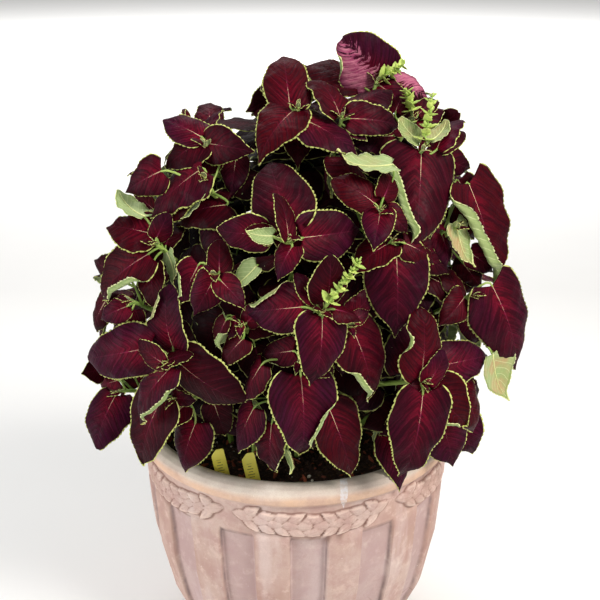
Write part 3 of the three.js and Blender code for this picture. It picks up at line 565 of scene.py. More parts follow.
def between(x, start, full, fading, stop):
    """1 from full to fading, down to 0 at start and at stop."""
    return smooth_step(x, start, full) * (1 - smooth_step(x, fading, stop))


def half_width(t, blunt):
    """Half of a blade's breadth as a share of its whole breadth: broad near the stalk, and at the tip either
    drawn out or, where its end bends away, rounded."""
    power = 0.84 - 0.36 * blunt
    drawn = 1 - (0.42 - 0.4 * blunt) * smooth_step(t, 0.7, 0.97)
    middle = 0.24 / (0.24 + power)
    return 0.5 * (t + 0.01) ** 0.24 * (1 - t) ** power / (middle**0.24 * (1 - middle) ** power) * drawn


def blunt_share(leaf):
    """How rounded a blade's end is seen: most for the blades that reach up and away from the front."""
    if "blunt" in leaf:
        return leaf["blunt"]
    own = 0.2 * draw(leaf["key"], 39)
    if "away" not in leaf:
        return own
    up = unit(leaf["tip"] - leaf["base"])[2]
    return min(1, own - 0.3 * float(smooth_step(-up, 0, 0.8)) + 0.8 * float(smooth_step(up, 0, 0.6)))


def blade_grid(teeth, columns, rolls):
    """How far along and across each point is, how far each row's tooth rises, and the midrib's column."""
    rolled = [roll[0] for roll in rolls]
    left, right = (ROLLED_COLUMNS if side in rolled else columns for side in (-1, 1))
    rows = [(k + r) / teeth for k in range(teeth) for r in TOOTH_ROWS] + [LAST_ROW]
    t, v = np.meshgrid(rows, [-v for v in left[:0:-1]] + list(right), indexing="ij")
    return t, v, np.array([*TOOTH_RISE * teeth, 0])[:, None], len(left) - 1


def turned_over(t, v, span, full, tooth, rolls):
    """How much of each point's way across lies beyond the fold of a turned-over margin."""
    beyond = np.zeros(t.shape)
    for side, over, start, stop in rolls:
        amount = over * between(t, start, start + 0.18, stop - 0.2, stop)
        crease = np.maximum(full + tooth * (1 - smooth_step(amount, 0, 2)) - amount, 0.3)
        beyond = np.where(v * side > 0, np.maximum(0, span - crease), beyond)
    return beyond


def blade_height(leaf, length, t, held, side, half, phase, turns):
    """Arched and folded as in the part, quilted between the veins, ruffled and curled towards the margins,
    grooved along the midrib and hooked at the tip."""
    key, width = leaf["key"], leaf["width"]
    swell = (0.5 - 0.5 * np.cos(2 * np.pi * phase)) * np.sin(np.pi * side) ** 0.7 * smooth_step(t, 0, 0.2)
    quilt = QUILT * length * swell * 2 * half
    waves = np.sin(2 * np.pi * (2.6 + 1.6 * draw(key, 31)) * t + turns)
    ruffle = leaf["wave"] * RUFFLE * (length / 80) * waves * side**2.4 * smooth_step(t, 0, 0.15)
    curl = (0.05 - 0.17 * draw(key, 34)) * width * side**3 * smooth_step(t, 0, 0.25)
    groove = -0.012 * width * np.exp(-((held / (0.03 * width)) ** 2))
    hook = -(0.02 + 0.09 * draw(key, 35)) * length * smooth_step(t, 0.62, 1) ** 2
    bend = leaf["arch"] * length * 4 * t * (1 - t) + leaf["fold"] * held
    return bend + quilt + ruffle + curl + groove + hook


def thick_sheet(surface, middle, values, centre, up, tint):
    """A thin closed body round a sheet of points, with its top towards up; returns the sheet's normals."""
    normal = np.cross(np.gradient(middle, axis=0), np.gradient(middle, axis=1))
    normal /= np.maximum(np.linalg.norm(normal, axis=2), 1e-9)[..., None]
    if normal[len(middle) // 3, centre] @ up < 0:
        normal = -normal
    rows, columns = middle.shape[:2]
    inner = np.zeros((rows, columns), bool)
    inner[1:-1, 1:-1] = True
    top = np.where(inner[..., None], middle + normal * THICKNESS / 2, middle)
    lower = np.arange(rows * columns).reshape(rows, columns)
    lower[inner] = rows * columns + np.arange(inner.sum())
    quads = grid_faces(rows, columns)
    points = np.concatenate([top.reshape(-1, 3), (middle - normal * THICKNESS / 2)[inner]])
    faces = np.concatenate([quads[:, ::-1], lower.ravel()[quads]])
    materials = np.repeat([TOP, UNDER], len(quads))
    probe = points[faces[len(quads) // 2]]
    if np.cross(probe[1] - probe[0], probe[2] - probe[0]) @ up < 0:
        faces = faces[:, ::-1]
    surface.add(points, faces, materials, np.concatenate([values.reshape(-1, 4), values[inner]]), tint)
    return normal


def blade(surface, leaf, rolls, tint, teeth, columns, ribbed=True):
    """A blade as a thin closed body: rows from the stalk to the tip, columns from margin to margin. rolls
    holds (side, how much is turned over in millimetres, where it starts and ends along the blade)."""
    length, a, s, n = blade_frame(leaf)
    key = leaf["key"]
    t, v, rise, centre = blade_grid(teeth, columns, rolls)
    side = np.abs(v)
    half = half_width(t, blunt_share(leaf))
    turns = np.where(v > 0, ROUND * draw(key, 32), ROUND * draw(key, 33))
    reach = half * leaf["width"] * (1 + 0.06 * np.sin(8 * t + turns) * smooth_step(side, 0, 0.4))
    tooth = rise * TOOTH_DEPTH * length * min(1, TEETH / teeth) ** 0.5 * side**3 * smooth_step(reach, 0, 4)
    tooth = tooth * smooth_step(t, -0.02, 0.1) * smooth_step(1 - t, -0.05, 0.3)
    x = t * length - 0.1 * length * side**1.3 * (1 - t) ** 6 + 0.5 * tooth * side**3
    y = v * (reach + tooth)
    edge = (1 - side) * reach * min(2.4, max(1, 80 / length)) ** 0.75 + (0.72 - 1.3 * rise) * side**6
    phase = (t - 0.4 * side**1.25 * (0.3 + 1.4 * half)) * VEINS + 0.35 + 0.5 * (v > 0)
    phase += 0.22 * np.sin(5 * t + ROUND * draw(key, 37))
    phase += 0.12 * np.sin(11 * t + 3 * v + ROUND * draw(key, 38))
    full = np.maximum(reach, 0.1)
    beyond = turned_over(t, v, np.abs(y), full, tooth, rolls)
    held = np.abs(y) - beyond
    z = blade_height(leaf, length, t, held, np.clip(held / full, 0, 1), half, phase, turns)
    angle = np.minimum(beyond / FOLD_RADIUS, FOLD_TURN)
    flat = beyond - angle * FOLD_RADIUS
    y = np.sign(y) * (held + FOLD_RADIUS * np.sin(angle) + flat * math.cos(FOLD_TURN))
    y = y + (draw(key, 36) - 0.5) * 0.05 * length * t * t
    z = z + FOLD_RADIUS * (1 - np.cos(angle)) + flat * math.sin(FOLD_TURN)
    middle = leaf["base"] + x[..., None] * a + y[..., None] * s + z[..., None] * n
    normal = thick_sheet(surface, middle, np.stack([v * reach, edge, phase, t], -1), centre, n, tint)
    if ribbed:
        rows = np.linspace(0, int(len(t) * 0.9), RIB_ROWS).astype(int)
        rib = middle[rows, centre] - normal[rows, centre] * THICKNESS * 0.6
        radii = np.linspace(*RIB_HALVES, RIB_ROWS) * min(1, length / 60 + 0.25)
        tube(surface, rib, radii, RIB_SIDES, UNDER, first=s, tint=tint)


def stalk(surface, leaf, half):
    """The leaf's stalk, leaving the stem square and turning into the midrib."""
    root, base = leaf["root"], leaf["base"]
    a = blade_frame(leaf)[1]
    bend = base - a * min(np.linalg.norm(base - root) * 0.45, STALK_BEND)
    t = np.linspace(0, 1, STALK_ROWS)[:, None]
    path = root * (1 - t) ** 2 + bend * 2 * t * (1 - t) + (base + a * 1.5) * t**2
    radii = np.linspace(half, half * 0.75, STALK_ROWS)
    tube(surface, path, radii, STALK_SIDES, GREEN, tint=(draw(leaf["key"], 41), 0, 0))


def stem(surface, shoot):
    """The square stem from under the soil to the shoot's tip, a little thicker at each joint."""
    corners = shoot["corners"]
    length = np.linalg.norm(corners[3] - corners[0])
    steps = max(10, int(length / STEM_STEP))
    path = [shoot["line"][0]] + [on_curve(corners, k / steps) for k in range(steps + 1)]
    radii = np.linspace(STEM_HALF, STEM_TIP_HALF, len(path)) * STEM_FULLER
    radii = radii * (1 + JOINT * (np.arange(len(path)) % 4 == 2))
    tint = (draw(shoot["index"], 42), 0.4, 0)
    tube(surface, path, radii, STEM_SIDES, GREEN, squareness=STEM_SQUARE, spin=shoot["phase"], tint=tint)


# ---- The crown ----
TURNED_EDGES = {  # shoot and leaf: which side as seen, how much, and where it starts and ends
    (4, 0): ("left", 12, 0.06, 0.97), (20, 0): ("left", 15, 0.02, 0.98), (15, 0): ("left", 9, 0.3, 0.95),
    (16, 0): ("right", 10, 0.25, 0.9), (11, 2): ("left", 8, 0.2, 0.9), (7, 2): ("right", 9, 0.1, 0.8),
    (8, 0): ("left", 7, 0.2, 0.9), (13, 3): ("left", 9, 0.35, 0.97), (13, 5): ("right", 6, 0.05, 0.9),
    (6, 2): ("left", 8, 0.05, 0.7), (17, 2): ("right", 8, 0.2, 0.9), (14, 4): ("left", 8, 0.2, 0.9),
}
TINTS = {  # how red, how much pink, and where a leaf needs it a number of its own: high ones are violet
    (0, 0): (0.85, 0.1, 0.3), (0, 1): (0.95, 0.05, 0.32), (1, 0): (0.6, 0.05, 0.35),
    (2, 1): (0.75, 0.05, 0.3), (2, 0): (0.35, 0.95), (2, 2): (0.3, 1.0), (4, 0): (0.55, 0.05, 0.5),
    (4, 3): (0.9, 0, 0.93), (4, 4): (0.9, 0, 0.95), (5, 0): (0.4, 0.1, 0.8), (9, 0): (0.4, 0.05, 0.5),
    (9, 4): (0.3, 0.05, 0.72), (10, 1): (0.85, 0.05, 0.3), (11, 0): (0.4, 0.1, 0.7),
    (12, 0): (0.4, 0.05, 0.6), (13, 0): (0.4, 0.05, 0.85), (14, 0): (0.8, 0.05, 0.4),
    (14, 3): (0.25, 0.1, 0.86), (14, 4): (0.8, 0.05, 0.3), (15, 0): (0.6, 0.05, 0.45),
    (16, 0): (0.35, 0.05, 0.78), (20, 0): (0.75, 0.15, 0.4), (20, 1): (0.5, 0, 1),
    (21, 0): (0.55, 0.05, 0.6), (21, 1): (0.5, 0, 0.97), (23, 0): (0.2, 0.05, 0.86),
}
EXTRA = [  # shoot, then as in FRONT, and how much deeper it hangs
    (9, -36, 83, -70, 88, 23, "u", -16), (8, -56, 44, -91, 13, 26, "u", -16),
    (17, -96, -23, -107, -62, 13, "u", 0), (7, -172, 62, -163, 17, 14, "u", 0),
    (6, -125, 143, -163, 101, 13, "u", -22), (19, -77, -131, -49, -143, 10, "u", 0),
    (19, -16, -195, -8, -224, 9, "u", -6), (22, 104, -163, 96, -187, 10, "u", 0),
    (22, 187, -159, 177, -198, 14, "u", 0), (10, 119, 175, 45, 186, 15, "u", -10),
    (10, 43, 188, 36, 132, 14, "u", -8), (3, 134, 230, 158, 256, 36, "", 14),
    (20, 202, 124, 231, 78, 36, "", 26), (20, 221, 62, 254, 36, 34, "", 26),
    (22, 200, -140, 228, -204, 58, "", 8), (14, 201, -104, 232, -176, 50, "", 20),
    (12, 150, 66, 196, 34, 44, "", 30), (6, -108, 184, -142, 158, 28, "", 14),
    (7, -182, 74, -204, 40, 28, "", 22), (20, 196, 44, 226, 6, 40, "", 40),
    (14, 195, -112, 234, -125, 47, "", 14), (23, -244, -65, -278, -94, 34, "", 0),
    (24, -252, 0, -267, -44, 29, "", 6), (5, -117, 226, -119, 259, 40, "", 10),
    (3, 182, 226, 205, 244, 29, "", 6), (4, 182, 185, 224, 169, 39, "", 24),
    (1, 122, 214, 64, 202, 46, "", 24), (20, 206, 156, 228, 96, 44, "", 34),
    (0, -28, 268, -70, 245, 44, "", 10), (20, 212, 48, 238, 14, 36, "", 30),
    (7, -190, 118, -214, 146, 26, "", 20),
]
# leaves that are seen broader, longer or blunter than the rules make them
WIDER = {(14, 5): 0.8, (19, 0): 0.86, (2, 0): 1.3, (5, 0): 1.02, (7, 0): 1.2, (6, 3): 1.25, (5, 2): 1.15,
         (9, 3): 0.7, (1, 2): 0.85, (23, 0): 1.25, (14, 4): 1.22, (22, 0): 1.3, (13, 0): 1.1, (0, 0): 1.08,
         (21, 1): 1.3, (2, 2): 1.35}
LONGER = {(0, 0): 1.08, (13, 0): 1.16, (6, 3): 1.12, (7, 0): 1.1, (5, 0): 1.08, (23, 0): 1.05, (14, 3): 1.06,
          (10, 2): 0.75}
BLUNT = {(13, 0): 0.9, (0, 0): 0.7, (2, 0): 0.9, (23, 0): 0.5}
TURNED_BACK = {(0, 1): 28, (5, 2): 18, (0, 2): 24, (20, 3): 20}  # degrees towards the front
FILL_PAIRS = [  # as in PAIRS
    (22, 7, 46, 56), (46, 11, 66, 70), (76, 14, 82, 80), (108, 16, 88, 86), (142, 17, 86, 90),
    (178, 16, 78, 92), (216, 14, 70, 94),
]
BUDS = [(0.5, 0.5, 9, 14), (4, 1.5, 16, 32)]
BUD_WIDTH = 0.72
FILL_SHARE = 0.8  # the share of the crown that filling leaves stay in
FILL_TRIES = [  # smaller, moved back, swung back and rolled, until a filling leaf is clear of the others
    (size, slide, swing, roll)
    for size in (1, 0.8, 0.62) for slide in (0, 9, -9)
    for swing in (0, 16, -16, 32) for roll in (0, 0.4, -0.4)
]
RIM_CLEAR = 35  # how far above the rim a filling leaf ends in front
FILL_CLEAR = 40  # how much stem there is below the last pair of filling leaves
EXTRA_STEPS = (0, 8, 16, 26, 38)  # how much deeper still an extra leaf may hang
TOOTH_PITCH = 4.6  # millimetres from tooth to tooth on the leaves in front
FEWEST, MOST = 12, 24  # their teeth
SHORT_LEAF, SHORT_TEETH = 45, 9
FAR_TEETH, EXTRA_TEETH, FILL_TEETH, BUD_TEETH, BRACT_TEETH = 10, 12, 7, 4, 5
STALK_HALF, SMALL_STALK_HALF = 1.5, 1.3
LOOSE_EDGES = 0.22  # the share of the other blades that have a stretch of margin turned over


def own_place(shoot, leaf):
    """The shoot and the leaf's number on it, as in the tables."""
    return shoot["index"], leaf["key"] - shoot["index"] * KEYS_A_SHOOT


def tint_and_shade_of(shoot, leaf):
    """How red a blade is, how much pink it has, a number of its own, and how much painted shade it gets from
    hanging deep in the crown.
    """
    number = draw(leaf["key"], 51)
    plain = (0.15 + 0.6 * draw(leaf["key"], 52), 0.12 * draw(leaf["key"], 53))
    red, pink, number = (*TINTS.get(own_place(shoot, leaf), plain), number)[:3]
    middle = (leaf["base"] + leaf["tip"]) / 2
    depth = 1 - np.linalg.norm((middle - CROWN_CENTRE) / CROWN_RADII)
    # the last number is painted shade: more the deeper the blade's middle lies inside the crown
    return red, pink, number, float(smooth_step(depth, 0.06, 0.36))


def rolls_of(shoot, leaf):
    """The turned-over margins of a leaf, with left and right as the viewer in front sees them."""
    key = leaf["key"]
    found = TURNED_EDGES.get(own_place(shoot, leaf))
    if found:
        way, over, start, stop = found
        to_right = blade_frame(leaf)[2][0] > 0
        return ((1 if to_right == (way == "right") else -1, over, start, stop),)
    if draw(key, 54) < LOOSE_EDGES and leaf["width"] > 26:
        start = 0.15 + 0.4 * draw(key, 55)
        over = leaf["width"] * (0.05 + 0.08 * draw(key, 57))
        return ((1 if draw(key, 56) < 0.5 else -1, over, start, start + 0.45),)
    return ()


class Room:
    """What already stands in the crown."""

    def __init__(self):
        self.trees, self.boxes = [], []

    def tree(self, leaf):
        """The blade's plain outline as a few triangles, and its box."""
        right, left, above, _, tip = coarse_blade(leaf)
        points = np.array([above, leaf["base"], *right, tip, *left[::-1]])
        count = len(points) - 1
        faces = [(0, 1 + k, 1 + (k + 1) % count) for k in range(count)]
        return bvhtree.BVHTree.FromPolygons(points.tolist(), faces), points.min(0), points.max(0)

    def add(self, leaf):
        tree, low, high = self.tree(leaf)
        self.trees.append(tree)
        self.boxes.append((low, high))

    def free(self, leaf):
        tree, low, high = self.tree(leaf)
        for other, (a, b) in zip(self.trees, self.boxes):
            if (a < high).all() and (b > low).all() and other.overlap(tree):
                return False
        return True


def set_right(shoot, leaf):
    """A leaf as broad, as long and as far turned to the front as it is seen."""
    place = own_place(shoot, leaf)
    leaf["width"] *= WIDER.get(place, 1)
    leaf["tip"] = leaf["base"] + (leaf["tip"] - leaf["base"]) * LONGER.get(place, 1)
    if place in BLUNT:
        leaf["blunt"] = BLUNT[place]
    if place in TURNED_BACK:
        a = unit(leaf["tip"] - leaf["base"])
        to_eye = unit(EYE - leaf["base"])
        angle = math.radians(TURNED_BACK[place])
        faces = [turned(leaf["face"], a, turn) for turn in (angle, -angle)]
        leaf["face"] = max(faces, key=lambda face: abs(face @ to_eye))
    return leaf


def extra_leaves(shoot, room):
    """The small leaves that the photo shows further in, each set deeper until it is clear of the others."""
    leaves = []
    for number, (index, *row, deeper) in enumerate(EXTRA):
        if index != shoot["index"]:
            continue
        for more in EXTRA_STEPS:
            tried = seen_leaf({**shoot, "depth": shoot["depth"] + deeper + more}, row, EXTRA_KEYS + number)
            if room.free(tried):
                break
        room.add(tried)
        leaves.append(tried)
    return leaves


def in_crown(leaf):
    """Whether a leaf's tip is well inside the crown and above the pot's rim."""
    low = POT_HEIGHT + RIM_CLEAR if leaf["tip"][1] < 0 else POT_HEIGHT
    return np.linalg.norm((leaf["tip"] - CROWN_CENTRE) / CROWN_RADII) < FILL_SHARE and leaf["tip"][2] > low


def fill_leaves(shoot, room):
    """Leaves further down a shoot, under the ones that show, wherever there is room."""
    added = []
    for pair, sizes in enumerate(FILL_PAIRS):
        if np.linalg.norm(shoot["end"] - shoot["line"][1]) < sizes[0] + FILL_CLEAR:
            break
        for side in (1, -1):
            plain = pair_leaf(shoot, sizes, pair, side, pair_key(shoot, FILL_KEYS, pair, side))
            for size, slide, swing, roll in FILL_TRIES:
                leaf = bent(plain, slide, swing, roll, size)
                if in_crown(leaf) and room.free(leaf):
                    room.add(leaf)
                    added.append(leaf)
                    break
    return added


def add_buds(surface, shoot):
    """The growing tip: two pairs of young leaves."""
    for pair, sizes in enumerate(BUDS):
        for side in (1, -1):
            leaf = pair_leaf(shoot, sizes, pair, side, pair_key(shoot, BUD_KEYS, pair, side))
            leaf["width"] *= BUD_WIDTH
            tint = (0.5, 0.1, draw(leaf["key"], 51))
            blade(surface, leaf, (), tint, BUD_TEETH, BUD_COLUMNS, ribbed=False)


def add_leaf(surface, shoot, leaf):
    """A leaf of the part, finer on the front shoots."""
    front = not shoot["pairs"]
    length = np.linalg.norm(leaf["tip"] - leaf["base"])
    teeth = int(np.clip(length / TOOTH_PITCH, FEWEST, MOST)) if front else FAR_TEETH
    if length <= SHORT_LEAF:
        teeth = SHORT_TEETH
    columns = PLAIN_COLUMNS if front else FAR_COLUMNS
    blade(surface, leaf, rolls_of(shoot, leaf), tint_and_shade_of(shoot, leaf), teeth, columns)
    stalk(surface, leaf, STALK_HALF)


def make_crown(materials):
    """One piece for each of the part's stems; returns the shoots by their numbers."""
    room = Room()
    shoots = make_shoots()
    for shoot in shoots:
        shoot["found"] = [set_right(shoot, leaf) for leaf in packed_leaves(shoot)]
        for leaf in shoot["found"]:
            room.add(leaf)
    for shoot in shoots:
        surface = Surface()
        stem(surface, shoot)
        for leaf in shoot["found"]:
            add_leaf(surface, shoot, leaf)
        for leaf in extra_leaves(shoot, room):
            blade(surface, leaf, (), tint_and_shade_of(shoot, leaf), EXTRA_TEETH, FAR_COLUMNS)
            stalk(surface, leaf, SMALL_STALK_HALF)
        for leaf in fill_leaves(shoot, room):
            blade(surface, leaf, (), tint_and_shade_of(shoot, leaf), FILL_TEETH, FILL_COLUMNS, ribbed=False)
            stalk(surface, leaf, SMALL_STALK_HALF)
        add_buds(surface, shoot)
        surface.piece("coleus_" + shoot["name"], materials, "leaf", [shoot["name"]])
    return {shoot["index"]: shoot for shoot in shoots}


# ---- The flower spikes ----
SPIKE_BARE = 0.22  # the share of a spike under its first whorl
SPIKE_BRACTS = 7
WHORL_STEP = 7.2
SPIKE_ROWS, SPIKE_HALVES, SPIKE_SIDES = 7, (1.4, 0.7), 8
WHORL_BUD, WHORL_THINNER = 2.8, 0.9  # a bud's size at the foot of a spike, and how much less it is at its tip


def bract(surface, base, way, length, number):
    """A small cupped leaf of a spike, as a leaf of its own that is mostly seen from outside."""
    face = unit(np.cross(way, np.cross(UP + 0.01, way)))
    leaf = {"base": base, "tip": base + way * length, "face": face, "width": 0.7 * length,
            "key": BRACT_KEYS + number, "arch": -0.12, "fold": 0.5, "wave": 1.0, "root": base, "blunt": 0.2}
    tint = (0.3 + 0.6 * draw(leaf["key"], 66), 0, 0)
    blade(surface, leaf, (), tint, BRACT_TEETH, BUD_COLUMNS, ribbed=False)


def make_spikes(shoots, material):
    for number, (index, spot, nearer) in enumerate(SPIKES, 1):
        shoot = shoots[index]
        end = seen_at(spot, shoot["depth"] - nearer)
        foot = shoot["end"] + unit(end - shoot["end"]) * 3
        axis = unit(end - foot)
        length = np.linalg.norm(end - foot)
        side = unit(np.cross(axis, BACKWARDS))
        other = np.cross(axis, side)
        surface = Surface()
        path = [foot + axis * length * k / (SPIKE_ROWS - 1) for k in range(SPIKE_ROWS)]
        tube(surface, path, np.linspace(*SPIKE_HALVES, SPIKE_ROWS), SPIKE_SIDES, 0, squareness=0.1)
        whorls = max(4, int(length * (1 - SPIKE_BARE) / WHORL_STEP))
        for k in range(whorls):
            share = SPIKE_BARE + (0.98 - SPIKE_BARE) * (k + 0.5 * draw(number * 20 + k, 67)) / (whorls - 0.5)
            size = WHORL_BUD - WHORL_THINNER * k / whorls
            for b in range(4 + k % 3):
                key = number * 100 + k * 8 + b
                turn = 2 * math.pi * draw(key, 61)
                out = side * math.cos(turn) + other * math.sin(turn)
                way = unit(out + axis * (0.2 + 1.2 * draw(key, 63)))
                grown = size * (0.6 + 0.6 * draw(key, 64))
                up = length * share + 4.4 * (draw(key, 65) - 0.5)
                centre = foot + axis * up + out * (0.8 + grown * 0.8)
                bead(surface, centre, way, grown * 1.2, grown * 0.66, 0, (draw(key, 62), 0, 0), 6, 5)
        for k in range(SPIKE_BRACTS):
            share = 0.12 + 0.84 * k / SPIKE_BRACTS
            for b in (0, 1):
                key = number * 60 + 2 * k + b
                turn = math.pi * b + (math.pi / 2 if k % 2 else 0) + 1.2 * (draw(key, 68) - 0.5)
                out = side * math.cos(turn) + other * math.sin(turn)
                way = unit(out + axis * (0.3 + 0.5 * draw(key, 69)))
                long = (14 - 6 * share) * (0.8 + 0.4 * draw(key, 70))
                bract(surface, foot + axis * length * share, way, long, key)
        surface.piece(f"coleus_spike_{number}", [material], "spike", [f"spike_{number}"])


# ---- The pot ----
OUTER_TURNS = 800
OUTER_LINE = [  # height and radius
    (0, 112), (1.5, 117), (4, 120), (31, 139), (PANEL_BOTTOM, 152), (90, 172.5), (160, 187), (PANEL_TOP, 194),
    (242, BAND_RADIUS), (276, BAND_RADIUS), (280, 193.6), (284, 198), (290, 199.8), (297, 199.6), (302, 196),
    (305, 190),
]
INSIDE_LINE = [
    (305, 184), (304.2, 180), (298, 176.5), (291, 175), (270, 173.5), (200, 171), (150, 169), (60, 133),
    (18, 103), (FLOOR, 98),
]
INSIDE_STEP = 40
PANEL_EDGE = 0.35  # half of the slope between panel and recess, in degrees
BAND_STEP, RIM_STEP, WALL_STEP = 1.2, 2, 9  # from row to row on the outside
BAND_DEEPER = 1.5  # how far the band is let in behind its line


def swag_height(degrees):
    """The height of the garland's middle line, and how far along its swag each direction is, from -1 to 1."""
    along = (degrees - SWAG_JOINT) % (360 / SWAGS)
    u = 2 * along / (360 / SWAGS) - 1
    return SWAG_LOW + (SWAG_HIGH - SWAG_LOW) * u * u, u


def raised(degrees):
    """How far each direction from the front is into a raised panel: 1 on it, 0 in the recess beside it."""
    step = 360 / PANELS
    place = (degrees - PANEL_FIRST) % step
    edge = PANEL_EDGE
    next_panel = smooth_step(place, step - edge, step + edge)
    return between(place, -edge, edge, step / 2 - edge, step / 2 + edge) + next_panel


LEAF_STEP, LEAF_LONG, LEAF_WIDE = 17, 15, 7  # the garland's leaves along a swag, and half their size
LEAF_ROWS = ((-7, 0.5, 27), (7, 0.5, 27), (0, 0, 0))  # how far off the swag's line, how far on, the splay


def garland(degrees, heights):
    """The relief of the leafy swags: three rows of pointed leaves, each with its tip on the next one nearer
    the middle of its swag."""
    arc = math.radians(360 / SWAGS) * BAND_RADIUS
    height, u = swag_height(degrees)
    along = u * arc / 2
    off = heights - height
    reach = arc / 2 - 7
    relief = 0.8 * smooth_step(1 - np.abs(off) / SWAG_HALF, 0, 0.6)
    relief = relief * smooth_step(reach - np.abs(along), 4, 16)
    count = int(reach / LEAF_STEP) + 1
    for k in range(count - 1, -1, -1):
        for row, (offset, on, splay) in enumerate(LEAF_ROWS):
            for half in (-1, 1):
                wobble = draw(k * 10 + row + 5 * half, 71) - 0.5
                middle = half * (reach - LEAF_LONG + 2 - LEAF_STEP * (k + on))
                if middle * half < -3:
                    continue
                tilt = -half * np.sign(offset) * math.radians(splay + (10 if k == 0 else 0)) + 0.25 * wobble
                c, si = math.cos(tilt), math.sin(tilt)
                dx, dz = along - middle, off - offset * (1 + 0.25 * wobble)
                p = -half * (dx * c + dz * si) / LEAF_LONG
                q = (-dx * si + dz * c) / LEAF_WIDE
                lens = np.where(np.abs(p) < 1, (1 - p * p) * (1 - 0.35 * np.maximum(p, 0)) - np.abs(q), 0)
                rise = 1.6 + 2.6 * np.clip(lens, 0, 1) ** 0.6 + 1.4 * p - 0.7 * np.exp(-((q / 0.1) ** 2))
                share = smooth_step(lens, 0, 0.1)
                relief = relief * (1 - share) + rise * share
    return relief


def hollows(relief):
    """How far each point of the outside lies below the mean of what is round it; the terracotta paints shade
    into these hollows and a highlight on the ridges.
    """
    mean = np.zeros(relief.shape)
    for dr in range(-2, 3):
        row = np.clip(np.arange(len(relief)) + dr, 0, len(relief) - 1)
        for dc in range(-3, 4):
            mean += np.roll(relief[row], dc, 1) / 35
    return mean - relief


def resampled(line, parts):
    """The line with each stretch cut into as many parts as parts(its first height, its length) says."""
    places = []
    for (z0, r0), (z1, r1) in zip(line[:-1], line[1:]):
        count = max(1, parts(z0, math.hypot(z1 - z0, r1 - r0)))
        places += [(mix(z0, z1, k / count), mix(r0, r1, k / count)) for k in range(count)]
    return np.array([*places, line[-1]])


def outside_parts(height, length):
    """Fine rows on the band, less fine on the rim, and broad ones below."""
    step = BAND_STEP if PANEL_TOP <= height < 277 else RIM_STEP if height > 277 else WALL_STEP
    return math.ceil(length / step)


def inside_parts(_, length):
    return int(length / INSIDE_STEP)


def pot_side(radius, height, degrees):
    """Points round the pot's axis, with the directions counted from the front."""
    swing = np.radians(degrees)
    return np.stack([radius * np.sin(swing), -radius * np.cos(swing), height], -1)


def pot_outside(angle):
    """The outside's points and values: its panels, the band with the garland, and a hand's unevenness."""
    line = resampled(OUTER_LINE, outside_parts)
    degrees, height = np.meshgrid(angle, line[:, 0])
    low, high = PANEL_BOTTOM, PANEL_TOP
    recess = (1 - raised(degrees)) * between(height, low - 6, low + 1, high - 3, high + 1)
    band = BAND_DEEPER * between(height, high - 6, high + 2, 276, 281)
    leaves = garland(degrees, height) * between(height, 238, 243, 275, 279)
    hand = 0.5 * np.sin(np.radians(degrees * 3) + height * 0.03)
    hand += 0.35 * np.sin(np.radians(degrees * 7) + 1.3 + height * 0.05)
    radius = line[:, 1:] - PANEL_STEP * recess - band + leaves + hand * smooth_step(height, 20, 60)
    # the third value, the garland's hollows, guides the terracotta's painted shade and highlight
    values = np.stack([recess, 0 * height, hollows(leaves), height / POT_HEIGHT], -1)
    return pot_side(radius, height, degrees), values


def pot_inside(angle):
    """The inside's points and values."""
    line = resampled(INSIDE_LINE, inside_parts)
    degrees, height = np.meshgrid(angle, line[:, 0])
    return pot_side(line[:, 1:], height, degrees), np.stack([0 * height] * 3 + [height / POT_HEIGHT], -1)


def make_pot(material):
    angle = np.arange(OUTER_TURNS) * 360 / OUTER_TURNS
    outer, outer_values = pot_outside(angle)
    inner, inner_values = pot_inside(angle)
    ring = np.arange(OUTER_TURNS)
    start = len(outer) * OUTER_TURNS
    last = start + (len(inner) - 1) * OUTER_TURNS
    middle = last + OUTER_TURNS
    faces = [
        grid_faces(len(outer), OUTER_TURNS, True),
        strip(start - OUTER_TURNS + ring, start + ring),
        grid_faces(len(inner), OUTER_TURNS, True) + start,
        fan(last + ring, middle),
        fan(ring[::-1], middle + 1),
    ]
    points = np.concatenate([outer.reshape(-1, 3), inner.reshape(-1, 3), [[0, 0, FLOOR], [0, 0, 0]]])
    values = np.concatenate([outer_values.reshape(-1, 4), inner_values.reshape(-1, 4), np.zeros((2, 4))])
    surface = Surface()
    surface.add(points, np.concatenate(faces), 0, values)
    surface.piece("terracotta_pot", [material], "terracotta", ["pot"])


# ---- Soil and labels ----
SOIL_REACH, SOIL_RINGS, SOIL_TURNS = 173.2, 46, 180
SOIL_UNDER, SOIL_UNDER_REACH = 200, 171
CRUMBS, CRUMB_REACH = 1100, 168


def soil_height(x, y):
    r = np.hypot(x, y) / MOUTH_RADIUS
    return SOIL_TOP - 3 + (SOIL_MOUND + 5) * (1 - np.clip(r, 0, 1) ** 2)


